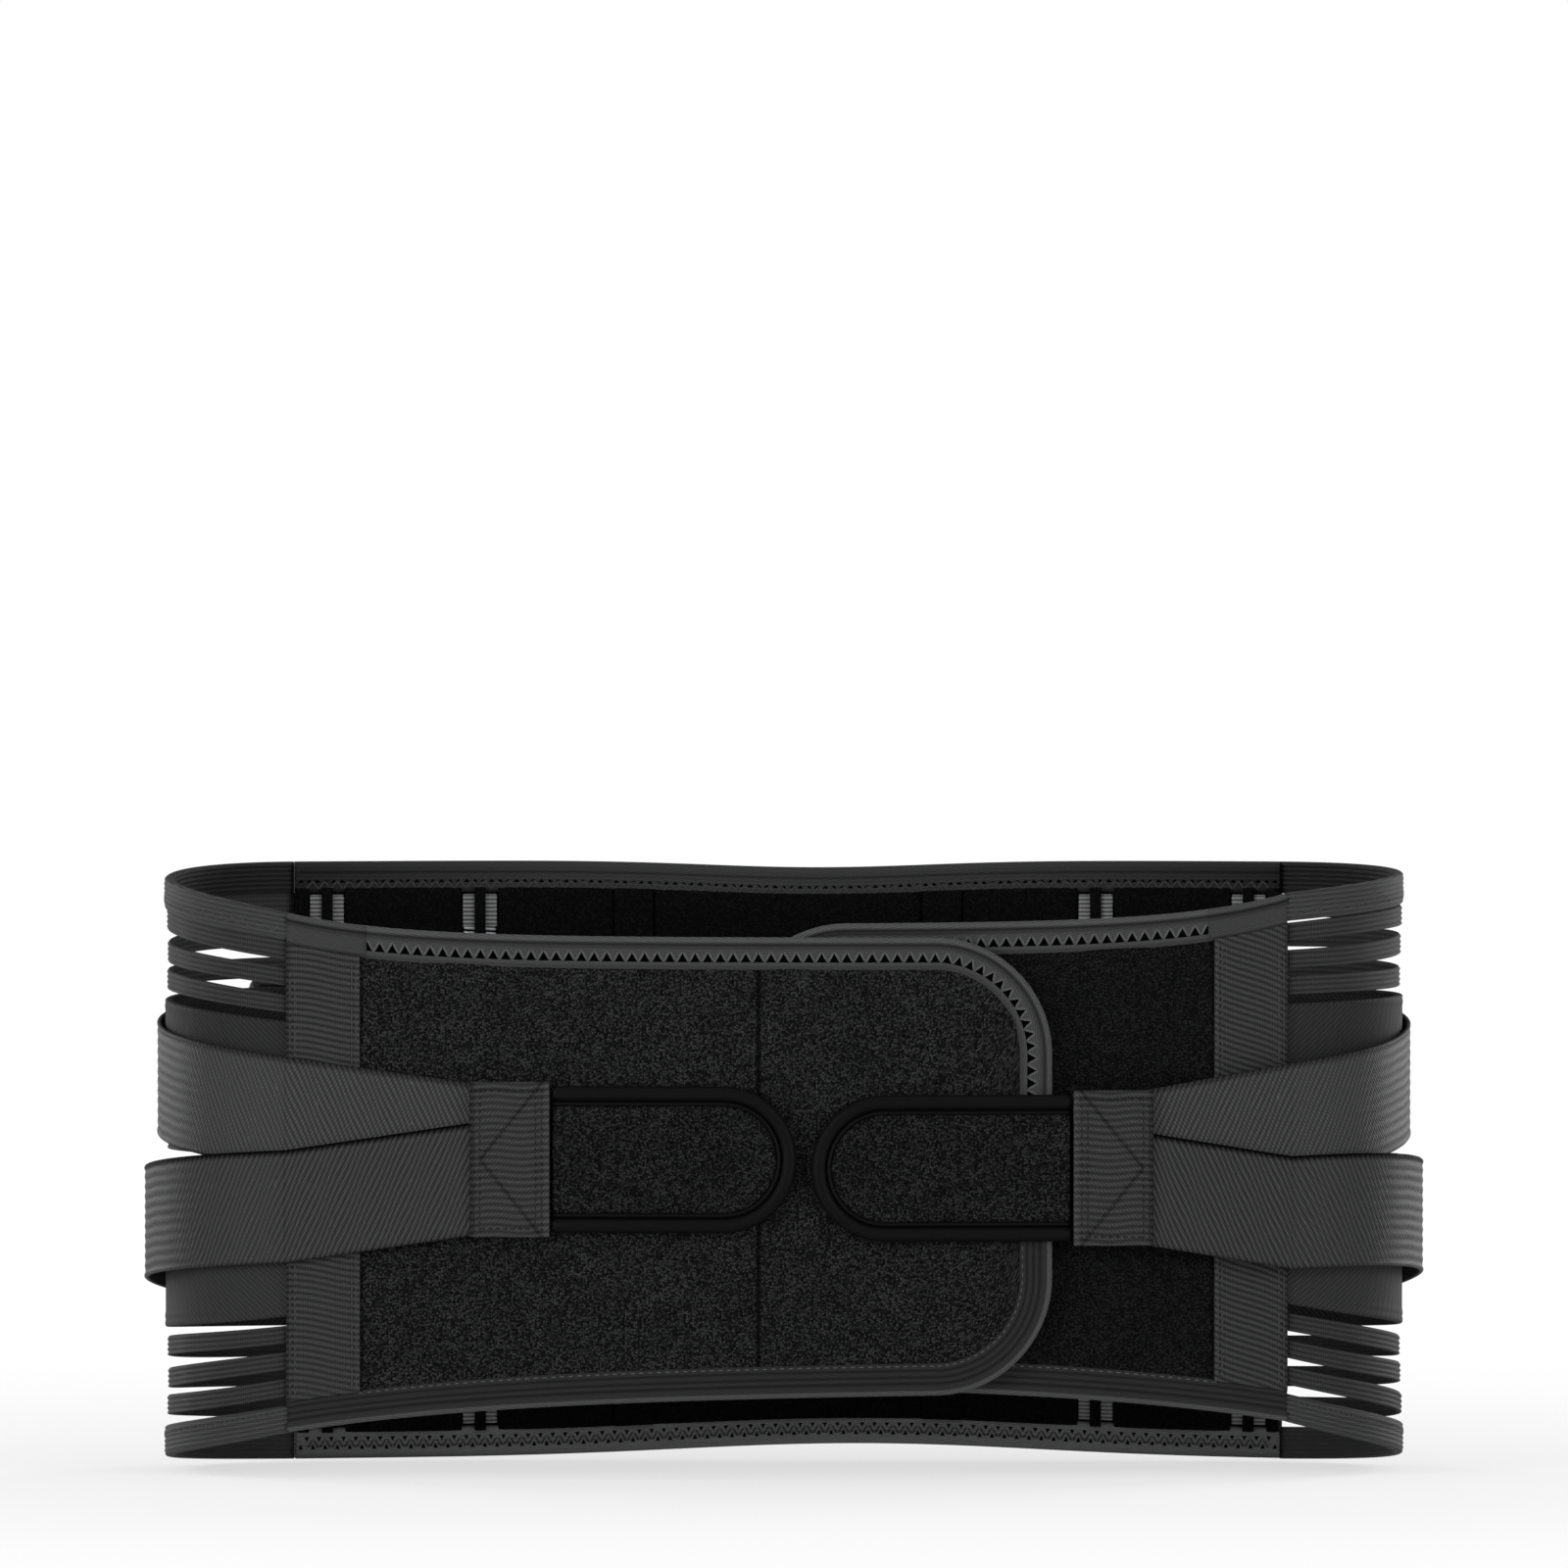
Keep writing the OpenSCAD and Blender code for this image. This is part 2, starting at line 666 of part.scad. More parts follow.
// hook patch sewn in the recess inside the tip of the outer wing
module outer_wing_hook_patch() {
    color([0.07, 0.07, 0.075]) in_frame(0) hook_shape(0);
}

module inner_wing_panel() {
    color([0.1, 0.1, 0.11]) in_frame(1) wing_panel(0, inner_tip);
}

module inner_wing_binding() {
    color([0.06, 0.06, 0.065]) in_frame(1) wing_binding(0, inner_tip);
}

module inner_wing_band() {
    color([0.09, 0.09, 0.1]) in_frame(1) wing_band(0, inner_tip);
}

// Pull straps: a short return, a fold round the ring's outer bar, then round the side to the patch
function pull_tail(l, z, h) = [for (i = [5:-1:1]) let (deg = ring_deg(l) + i * 3, t = bar_t - bore_r,
    a = side_pt(l, deg, t), b = side_pt(l, deg, t - pull_t)) [a[0], a[1], b[0], b[1], z - h, z + h]];
function pull_fold(l, z, h) = [for (i = [0:12]) let (deg = ring_deg(l) + 180 + 15 * i, c = outer_bar(l),
    a = c + bore_r * [cos(deg), sin(deg)], b = c + (bore_r + pull_t) * [cos(deg), sin(deg)])
    [a[0], a[1], b[0], b[1], z - h, z + h]];
function pull_side(l, t_end, z, z_end, h, bulge, climb) = [for (i = [1:24]) let (k = i / 24,
    deg = mix(ring_deg(l), 90 - front_deg(l), k),
    t = k < 0.5 ? mix(bar_t + bore_r, bulge, ease(2 * k)) : mix(bulge, t_end - l, ease(2 * k - 1)),
    zc = mix(z, z_end, 0.68 * k * (1 + climb * (1 - k))),
    a = side_pt(l, deg, t), b = side_pt(l, deg, t + pull_t))
    [a[0], a[1], b[0], b[1], zc - h, zc + h]];
function pull_front(l, t_end, z, z_end, h, x_end) = [for (i = [1:12]) let (k = i / 12,
    x = mix(seam_x(l) * arc_r / (arc_r + l), x_end, k), zc = mix(z, z_end, min(1, 0.68 + 0.44 * k)),
    a = front_pt(x, t_end), b = front_pt(x, t_end + pull_t)) [a[0], a[1], b[0], b[1], zc - h, zc + h]];
function pull_path(l, t_end, z, z_end, x_end, bulge, climb) = concat(
    pull_tail(l, z, pull_w / 2), pull_fold(l, z, pull_w / 2),
    pull_side(l, t_end, z, z_end, pull_w / 2, bulge, climb),
    pull_front(l, t_end, z, z_end, pull_w / 2, x_end));

module upper_right_pull_strap() {
    color([0.085, 0.085, 0.09]) in_frame(0)
        ribbon(pull_path(lift, pull_t0, upper_z, right_z + pull_split, right_tab_x + seam_gap,
            upper_bulge, 0));
}

module lower_right_pull_strap() {
    color([0.085, 0.085, 0.09]) in_frame(0)
        ribbon(pull_path(lift, pull_t1, lower_z, right_z - pull_split, right_tab_x + seam_gap,
            lower_bulge, right_climb));
}

module upper_left_pull_strap() {
    color([0.085, 0.085, 0.09]) in_frame(1)
        ribbon(pull_path(0, pull_t0, upper_z, left_z + pull_split, left_tab_x + seam_gap,
            upper_bulge, 0));
}

module lower_left_pull_strap() {
    color([0.085, 0.085, 0.09]) in_frame(1)
        ribbon(pull_path(0, pull_t1, lower_z, left_z - pull_split, left_tab_x + seam_gap,
            lower_bulge, left_climb));
}

module patch(x, z) {
    front_wall(patch_t0, patch_t0 + patch_t, x + seam_gap, x + patch_l, z - patch_h / 2, z + patch_h / 2);
}

module right_patch() {
    color([0.085, 0.085, 0.09]) in_frame(0) patch(right_tab_x, right_z);
}

module left_patch() {
    color([0.085, 0.085, 0.09]) in_frame(1) patch(left_tab_x, left_z);
}

// outline of a tab with a round free end, drawn in by the inset but for its root
module tab_outline(x, long, z, e) {
    rotate([90, 0, 0]) linear_extrude(height = reach, center = true) union() {
        translate([x - long + tab_end_r, z - tab_h / 2 + e]) square([long - tab_end_r + 1, tab_h - 2 * e]);
        translate([x - long + tab_end_r, z]) circle(r = tab_end_r - e);
    }
}

module tab_layer(t0, t1, x, long) {
    front_wall(t0, t1, x - long - 4, x, 0, panel_h);
}

module tab_pad(x, long, z) {
    intersection() {
        tab_layer(tab_t0 + 0.2, tab_t0 + 0.2 + tab_t, x, long);
        tab_outline(x, long, z, piping_w + sewn_gap);
    }
}

module tab_piping(x, long, z) {
    difference() {
        intersection() {
            tab_layer(tab_t0, tab_t0 + piping_t, x, long);
            tab_outline(x, long, z, 0);
        }
        tab_outline(x, long, z, piping_w);
    }
}

module tab_hook_pad(x, long, z) {
    intersection() {
        tab_layer(pad_t0, pad_t0 + pad_t, x, long);
        tab_outline(x, long, z, 2);
    }
}

module right_tab_pad() {
    color([0.13, 0.13, 0.14]) in_frame(0) tab_pad(right_tab_x, right_tab_l, right_z);
}

module right_tab_piping() {
    color([0.07, 0.07, 0.075]) in_frame(0) tab_piping(right_tab_x, right_tab_l, right_z);
}

module right_tab_hook_pad() {
    color([0.07, 0.07, 0.075]) in_frame(0) tab_hook_pad(right_tab_x, right_tab_l, right_z);
}

module left_tab_pad() {
    color([0.13, 0.13, 0.14]) in_frame(1) tab_pad(left_tab_x, left_tab_l, left_z);
}

module left_tab_piping() {
    color([0.07, 0.07, 0.075]) in_frame(1) tab_piping(left_tab_x, left_tab_l, left_z);
}

module left_tab_hook_pad() {
    color([0.07, 0.07, 0.075]) in_frame(1) tab_hook_pad(left_tab_x, left_tab_l, left_z);
}

mesh_panel();
lining();
stay_1();
stay_2();
stay_3();
stay_4();
stay_5();
stay_6();
stay_tips();
centre_band();
channel_band_1();
channel_band_2();
channel_band_3();
channel_band_4();
channel_band_5();
channel_band_6();
back_top_binding();
back_bottom_binding();
upper_right_tension_strap();
lower_right_tension_strap();
upper_left_tension_strap();
lower_left_tension_strap();
upper_right_ring();
lower_right_ring();
upper_left_ring();
lower_left_ring();
right_upper_strips();
right_side_band();
right_middle_strips();
right_lower_strips();
right_top_tape();
right_bottom_tape();
left_upper_strips();
left_side_band();
left_middle_strips();
left_lower_strips();
left_top_tape();
left_bottom_tape();
outer_wing_panel();
outer_wing_binding();
outer_wing_band();
outer_wing_hook_patch();
inner_wing_panel();
inner_wing_binding();
inner_wing_band();
upper_right_pull_strap();
lower_right_pull_strap();
right_patch();
right_tab_pad();
right_tab_piping();
right_tab_hook_pad();
upper_left_pull_strap();
lower_left_pull_strap();
left_patch();
left_tab_pad();
left_tab_piping();
left_tab_hook_pad();
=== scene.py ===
"""Looks of a wrap-around lumbar support belt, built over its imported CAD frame."""

import logging
import math
from dataclasses import dataclass, field
from enum import Enum
from typing import Callable, Optional, Sequence

import bpy
import numpy as np
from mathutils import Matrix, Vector


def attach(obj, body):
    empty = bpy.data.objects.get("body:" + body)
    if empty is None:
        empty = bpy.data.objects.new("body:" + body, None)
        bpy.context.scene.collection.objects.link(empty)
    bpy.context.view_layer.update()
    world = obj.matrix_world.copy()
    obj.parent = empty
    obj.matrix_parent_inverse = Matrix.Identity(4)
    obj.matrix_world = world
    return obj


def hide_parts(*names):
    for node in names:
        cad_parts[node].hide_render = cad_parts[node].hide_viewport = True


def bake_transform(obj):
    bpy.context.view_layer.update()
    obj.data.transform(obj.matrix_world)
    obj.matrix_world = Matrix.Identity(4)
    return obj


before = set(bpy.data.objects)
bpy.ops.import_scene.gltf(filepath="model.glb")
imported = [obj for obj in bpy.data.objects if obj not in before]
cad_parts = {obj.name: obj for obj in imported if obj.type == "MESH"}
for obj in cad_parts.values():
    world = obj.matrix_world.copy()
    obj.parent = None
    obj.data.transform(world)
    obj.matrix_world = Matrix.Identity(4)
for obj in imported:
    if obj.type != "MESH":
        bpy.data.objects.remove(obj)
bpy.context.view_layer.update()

MM = 0.001
Array = np.ndarray
Relief = Callable[[Array, Array], Array]
log = logging.getLogger("belt")

BLACK = 0.001
# How far pieces stay clear of each other where they meet at a seam, in millimetres.
SEAM_GAP = 0.1
SEAM_PITCH = 4.3
# Straight seams: distance of the stitches, thread width, and how far a stitch stands off the cloth.
BAND_STITCH = (2.4, 0.55, 0.3)
PATCH_STITCH = (2.5, 0.6, 0.32)
RIM_STITCH = (2.9, 0.6, 0.28)
# Zigzag seams: length of two legs, thread width, and how far the thread stands off the cloth.
RIM_ZIGZAG = (SEAM_PITCH, 0.6, 0.3)
TAPE_ZIGZAG = (SEAM_PITCH, 0.55, 0.22)
# Inputs of the needle-hole group, which paints shade into the holes: pitch, height and half height of the
# row, where a hole starts, second row.
HOLE_INPUTS = ("Pitch", "Middle", "Half", "Start", "Both")


class Side(Enum):
    """The wearer's side a piece is on."""

    RIGHT = 1
    LEFT = -1

    @property
    def word(self) -> str:
        """Name of the side as CAD nodes use it."""
        return self.name.lower()

    @property
    def wing(self) -> str:
        """Body of the wing on this side."""
        return "outer_wing" if self is Side.RIGHT else "inner_wing"


class Level(Enum):
    """The upper or the lower strap of a pair."""

    UPPER = 1
    LOWER = -1

    @property
    def word(self) -> str:
        """Name of the level as CAD nodes use it."""
        return self.name.lower()

    @property
    def place(self) -> int:
        """Place of the level in a pair of sizes, the upper one first."""
        return 0 if self is Level.UPPER else 1


class Weave(Enum):
    """How a cloth is made, which picks its shader."""

    RIB = "rib"
    TWILL = "twill"
    PLAIN = "plain"
    PILE = "pile"
    HOOK = "hook"


def mix(a: Array, b: Array, k: Array) -> Array:
    """Value between a and b at share k."""
    return a + (b - a) * k


def ease(k: Array) -> Array:
    """Share k with a soft start and end."""
    k = np.clip(k, 0, 1)
    return k * k * (3 - 2 * k)


def ridge(v: Array, at: float, half: float) -> Array:
    """Round ridge of height 1 across v, centred at a place."""
    return np.clip(1 - ((v - at) / half) ** 2, 0, 1)


@dataclass(frozen=True)
class Plan:
    """Plan of the closed belt in millimetres: two long arcs joined by two side bends."""

    half_width: float = 211.0
    half_depth: float = 65.0
    side_radius: float = 50.0
    lift: float = 5.2
    height: float = 206.0
    shift: tuple[float, float] = (-1.3, -2.45)

    @property
    def mid_z(self) -> float:
        """Height of the middle of the back."""
        return self.height / 2

    @property
    def arc_r(self) -> float:
        """Radius of the long arcs."""
        a, b = self.half_width - self.side_radius, self.half_depth - self.side_radius
        return self.side_radius + (a * a + b * b) / (2 * b)

    @property
    def arc_c(self) -> float:
        """Distance of the long arcs' centres from the middle."""
        return self.arc_r - self.half_depth

    def rise(self, side: Side) -> float:
        """How far the wing of a side lies outside the inner wing."""
        return self.lift if side is Side.RIGHT else 0.0

    def side_r(self, side: Side) -> float:
        """Radius of a side bend."""
        return self.side_radius + self.rise(side) / 2

    def side_centre(self, side: Side) -> tuple[float, float]:
        """Centre of a side bend, on the wearer's right.

        Args:
            side: The wearer's side.

        Returns:
            The plan point.
        """
        up, reach = self.rise(side), self.arc_r - self.side_r(side)
        y = up * (2 * reach + up) / (4 * self.arc_c)
        return math.sqrt(reach**2 - (self.arc_c - y) ** 2), y

    def back_deg(self, side: Side) -> float:
        """Half angle of the back arc up to a side bend."""
        x, y = self.side_centre(side)
        return math.degrees(math.atan2(x, self.arc_c - y))

    def front_deg(self, side: Side) -> float:
        """Half angle of the front arc up to a side bend."""
        x, y = self.side_centre(side)
        return math.degrees(math.atan2(x, self.arc_c + y))

    def seam_x(self, side: Side) -> float:
        """Distance of a wing's side seam from the middle."""
        return (self.arc_r + self.rise(side)) * math.sin(math.radians(self.front_deg(side)))

    @property
    def panel_end(self) -> float:
        """Half length of the back panel."""
        return self.arc_r * math.radians(self.back_deg(Side.LEFT))

    def settle(self, xy: Array, side: Side = Side.RIGHT) -> Array:
        """Plan points of the right side, mirrored if needed and moved to the shared frame."""
        return xy * np.array([side.value, 1.0]) + np.array(self.shift)


PLAN = Plan()


@dataclass
class Run:
    """Stations of a cloth run: base points, outward normals and lengths along it."""

    base: Array
    normal: Array
    u: Array

    @classmethod
    def back(cls, s: Array) -> "Run":
        """Run on the back arc.

        Args:
            s: Lengths from the middle.

        Returns:
            The run.
        """
        a = np.asarray(s) / PLAN.arc_r
        normal = np.stack([np.sin(a), -np.cos(a)], 1)
        base = np.array([0, PLAN.arc_c]) + PLAN.arc_r * normal
        return cls(PLAN.settle(base), normal, np.asarray(s, float))

    @classmethod
    def bend(cls, side: Side, deg: Array) -> "Run":
        """Run round a side bend.

        Args:
            side: The wearer's side.
            deg: Angles from straight sideways, towards the front.

        Returns:
            The run.
        """
        a = np.radians(deg)
        normal = np.stack([np.cos(a), np.sin(a)], 1)
        base = np.array(PLAN.side_centre(side)) + PLAN.side_r(side) * normal
        return cls(PLAN.settle(base, side), normal * [side.value, 1], a * PLAN.side_r(side))

    @classmethod
    def front(cls, side: Side, x: Array, t: float) -> "Run":
        """Run on the front arc.

        Args:
            side: The wearer's side.
            x: Distances from the middle.
            t: Layer on which they are measured.

        Returns:
            The run.
        """
        x = np.asarray(x, float)
        r = PLAN.arc_r + t
        normal = np.stack([x / r, np.sqrt(r * r - x * x) / r], 1)
        base = np.array([0, -PLAN.arc_c]) + PLAN.arc_r * normal
        return cls(PLAN.settle(base, side), normal * [side.value, 1], -x)

    @classmethod
    def through(cls, inner: Array, outer: Array) -> "Run":
        """Run through pairs of points that are already in the frame.

        Args:
            inner: Points of the inner face.
            outer: Points of the outer face.

        Returns:
            The run.
        """
        across = outer - inner
        normal = across / np.linalg.norm(across, axis=1)[:, None]
        steps = np.linalg.norm(np.diff(inner, axis=0), axis=1)
        return cls(inner, normal, np.concatenate([[0], np.cumsum(steps)]))


@dataclass
class Soup:
    """Vertices, faces and texture coordinates gathered for one piece, in millimetres."""

    verts: list[Array] = field(default_factory=list)
    uvs: list[Array] = field(default_factory=list)
    faces: list[Array] = field(default_factory=list)
    tones: list[Array] = field(default_factory=list)
    count: int = 0

    def add(self, verts: Array, uvs: Array, faces: Sequence[Array], tone: Optional[Array] = None) -> None:
        """Adds points and faces.

        Args:
            verts: Points.
            uvs: Their texture coordinates.
            faces: Arrays of faces, each of one size, which index these points.
            tone: Share of the cloth's brightness at each point, where lower values paint shade.
        """
        verts = verts.reshape(-1, 3)
        self.verts.append(verts)
        self.uvs.append(uvs.reshape(-1, 2))
        self.tones.append(np.ones(len(verts)) if tone is None else tone.ravel())
        self.faces.extend(np.atleast_2d(f) + self.count for f in faces)
        self.count += len(verts)

    def grid(self, points: Array, uvs: Array, tone: Optional[Array] = None) -> None:
        """Adds a grid of points as a closed body: the last column joins the first, both ends are capped.

        Args:
            points: Grid of shape (n, m, 3).
            uvs: Texture coordinates of shape (n, m, 2).
            tone: Share of the cloth's brightness at each point, lowered by painted shade in grooves.
        """
        n, m = points.shape[:2]
        i, j = np.arange(n - 1)[:, None], np.arange(m)[None, :]
        i1, j1 = i + 1, (j + 1) % m
        quads = np.stack([i * m + j, i1 * m + j, i1 * m + j1, i * m + j1], -1).reshape(-1, 4)
        ends = [np.arange(m)[None], np.arange((n - 1) * m, n * m)[::-1][None]]
        self.add(points, uvs, [quads, *ends], tone)

    def stitches(self, a: Array, b: Array, normal: Array, width: float, height: float) -> None:
        """Adds thread stitches as slim bodies from points a to points b.

        Args:
            a: Start points, shape (n, 3).
            b: End points.
            normal: Direction away from the cloth at each stitch.
            width: Thread width.
            height: How far a stitch stands off the cloth.
        """
        mid, along = (a + b) / 2, b - a
        along = along / np.linalg.norm(along, axis=1)[:, None]
        across = np.cross(along, normal) * width / 2
        q = (b - a) * 0.28
        rings = [a, mid - q + across, mid - q + normal * height, mid - q - across, mid + q + across,
                 mid + q + normal * height, mid + q - across, b]
        verts = np.stack(rings, 1)
        one = np.array([[0, 1, 2], [0, 2, 3], [7, 5, 4], [7, 6, 5]])
        four = np.array([[1, 4, 5, 2], [2, 5, 6, 3]])
        start = (np.arange(len(a)) * 8)[:, None, None]
        uv = np.zeros((len(a), 8, 2))
        uv[:, 4:, 0] = np.linalg.norm(b - a, axis=1)[:, None]
        self.add(verts, uv, [(one + start).reshape(-1, 3), (four + start).reshape(-1, 4)])

    def piece(self, name: str, material: bpy.types.Material, slot: str) -> bpy.types.Object:
        """Makes the mesh object.

        Args:
            name: Name of the piece.
            material: Its finish.
            slot: The record's material slot; not used.

        Returns:
            The new object, in the shared frame.
        """
        verts, uv = np.concatenate(self.verts) * MM, np.concatenate(self.uvs) * MM
        loops = np.concatenate([f.ravel() for f in self.faces]).astype(np.int32)
        sizes = np.concatenate([np.full(len(f), f.shape[1]) for f in self.faces])
        mesh = bpy.data.meshes.new(name)
        mesh.vertices.add(len(verts))
        mesh.vertices.foreach_set("co", verts.astype(np.float32).ravel())
        mesh.loops.add(len(loops))
        mesh.loops.foreach_set("vertex_index", loops)
        mesh.polygons.add(len(sizes))
        mesh.polygons.foreach_set("loop_start", np.concatenate([[0], np.cumsum(sizes)[:-1]]).astype(np.int32))
        mesh.polygons.foreach_set("use_smooth", np.ones(len(sizes), bool))
        layer = mesh.uv_layers.new(name="weave")
        layer.data.foreach_set("uv", uv[loops].astype(np.float32).ravel())
        mesh.attributes.new("tone", "FLOAT", "POINT").data.foreach_set(
            "value", np.concatenate(self.tones).astype(np.float32))
        mesh.materials.append(material)
        mesh.update(calc_edges=True)
        mesh.validate()
        obj = bpy.data.objects.new(name, mesh)
        bpy.context.scene.collection.objects.link(obj)
        log.info("piece %s: %d points", name, len(verts))
        return obj


@dataclass
class Strip:
    """Cloth of some height and thickness laid along a run."""

    run: Run
    z0: Array
    z1: Array
    t0: Array
    t1: Array
    edge: float = 0.5
    warp: Optional[Callable[[Array], Array]] = None

    def __post_init__(self) -> None:
        """Gives every station its own heights and layers."""
        n = len(self.run.u)
        for name in ("z0", "z1", "t0", "t1"):
            setattr(self, name, np.broadcast_to(np.asarray(getattr(self, name), float), (n,)).copy())

    def solid(self, soup: Soup, rows: int, outer: Optional[Relief] = None, inner: Optional[Relief] = None,
              inner_rows: int = 0, turn: int = 3, tone: Optional[Relief] = None,
              inner_tone: Optional[Relief] = None) -> None:
        """Adds the strip as a closed body with rounded edges.

        Args:
            soup: Where it goes.
            rows: Points across the outer face.
            outer: Relief of the outer face, from length and height.
            inner: Relief of the inner face.
            inner_rows: Points across the inner face, as many as outside if there is a relief.
            turn: Points round each edge corner.
            tone: Share of the cloth's brightness, from length and height, where lower values paint shade.
            inner_tone: The same for the whole inner face.
        """
        r = self.edge
        inner_rows = inner_rows or (rows if inner else 3)
        a = np.radians(np.linspace(90, 0, turn + 1))[1:]
        up = np.linspace(0, 1, rows)
        down = np.linspace(1, 0, inner_rows)
        one, nil = np.ones(turn), np.zeros(turn)
        f = np.concatenate([up, one, one, down, nil, nil])
        out, home = r * np.cos(a), r * np.cos(a[::-1])
        dz = np.concatenate([0 * up, out, home, 0 * down, -out, -home])
        dz[rows + turn] = r
        k = np.concatenate([up * 0 + 1, one, nil, down * 0, nil, one])
        dip, lift = r * (np.sin(a) - 1), r * (np.sin(a[::-1]) - 1)
        dt = np.concatenate([0 * up, dip, -lift, 0 * down, -dip, lift])
        w_out = np.concatenate([up * 0 + 1, np.sin(a), nil, down * 0, nil, np.sin(a[::-1])])
        w_in = np.concatenate([up * 0, nil, np.sin(a[::-1]), down * 0 + 1, np.sin(a), nil])
        low, high = self.z0 + r, self.z1 - r
        z = low[:, None] + f * (high - low)[:, None] + dz
        t = self.t0[:, None] + k * (self.t1 - self.t0)[:, None] + dt
        u, v = self.run.u[:, None], z - self.z0[:, None]
        if outer:
            t = t + w_out * outer(u, v)
        if inner:
            t = t - w_in * inner(u, v)
        shade = np.broadcast_to(tone(u, v) if tone else 1.0, z.shape)
        if inner_tone:
            shade = shade * mix(1.0, inner_tone(u, v), w_in)
        soup.grid(self.placed(z, t), np.stack(np.broadcast_arrays(u, v), -1), shade)

    def placed(self, z: Array, t: Array) -> Array:
        """Points in the frame, one row for each station.

        Args:
            z: Heights.
            t: Layers.

        Returns:
            The points.
        """
        xy = self.run.base[:, None, :] + t[..., None] * self.run.normal[:, None, :]
        if self.warp:
            z = z + self.warp(self.run.u)(z)
        return np.concatenate([xy, z[..., None]], -1)

    def at(self, u: Array, v: Array, outside: bool = True) -> tuple[Array, Array]:
        """Points and normals on a face.

        Args:
            u: Lengths along the run.
            v: Heights above the lower edge.
            outside: The outer face and not the inner one.

        Returns:
            Points of shape (n, 3) and their normals.
        """
        u, v = np.broadcast_arrays(np.asarray(u, float), np.asarray(v, float))
        order = np.argsort(self.run.u)
        look = lambda values: np.interp(u, self.run.u[order], values[order])
        base = np.stack([look(self.run.base[:, 0]), look(self.run.base[:, 1])], 1)
        normal = np.stack([look(self.run.normal[:, 0]), look(self.run.normal[:, 1])], 1)
        t = look(self.t1 if outside else self.t0)
        z = look(self.z0) + v
        if self.warp:
            z = z + np.array([self.warp(np.array([a]))(np.array([[b]]))[0, 0] for a, b in zip(u, z)])
        flat = np.concatenate([normal * (1 if outside else -1), np.zeros((len(u), 1))], 1)
        return np.concatenate([base + t[:, None] * normal, z[:, None]], 1), flat

    def sew(self, soup: Soup, line: Sequence[tuple[float, float]], pitch: float, width: float,
            height: float) -> None:
        """Adds a row of stitches on the outer face.

        Args:
            soup: Where it goes.
            line: Its corners, as lengths and heights.
            pitch: Distance of the stitches.
            width: Thread width.
            height: How far a stitch stands off the cloth.
        """
        pts = np.array(line, float)
        steps = np.linalg.norm(np.diff(pts, axis=0), axis=1)
        along = np.concatenate([[0], np.cumsum(steps)])
        starts = np.arange(0.2, along[-1] - pitch * 0.6, pitch)
        ends = starts + pitch * 0.68
        pick = lambda q: (np.interp(q, along, pts[:, 0]), np.interp(q, along, pts[:, 1]))
        a, normal = self.at(*pick(starts))
        b, _ = self.at(*pick(ends))
        soup.stitches(a, b, normal, width, height)

    def zigzag(self, soup: Soup, u: tuple[float, float], low: float, high: float, pitch: float,
               width: float, height: float, outside: bool = True) -> None:
        """Adds a zigzag of thread on a face.

        Args:
            soup: Where it goes.
            u: Lengths of its start and end.
            low: Height of its lower turns.
            high: Height of its upper turns.
            pitch: Length of two legs.
            width: Thread width.
            height: How far it stands off the cloth.
            outside: The outer face and not the inner one.
        """
        n = max(2, int(abs(u[1] - u[0]) / (pitch / 2)))
        q = np.linspace(u[0], u[1], n + 1)
        v = np.where(np.arange(n + 1) % 2 == 0, low, high)
        p, normal = self.at(q, v, outside)
        soup.stitches(p[:-1], p[1:], normal[:-1], width, height)


@dataclass(frozen=True)
class Ribs:
    """Raised ribs across the height of a cloth, a relief with painted shade in its grooves."""

    pitch: float
    height: float
    lean: float = 0.0
    wave: float = 0.0
    wave_at: float = 9.0
    shade: float = 0.7

    def turn(self, u: Array, v: Array) -> Array:
        """Course of the ribs, from -1 in a groove to 1 on a crest."""
        return np.sin(2 * np.pi * (v + self.lean * u + self.wave * np.sin(u / self.wave_at)) / self.pitch)

    def __call__(self, u: Array, v: Array) -> Array:
        """Height of the relief."""
        return self.height * self.turn(u, v)

    def tone(self, u: Array, v: Array) -> Array:
        """Share of the cloth's brightness left by the painted shade in the grooves."""
        return 1 - self.shade * (0.5 - 0.5 * self.turn(u, v))


def over(*parts: Relief) -> Relief:
    """Sum of reliefs."""
    return lambda u, v: sum(p(u, v) for p in parts)


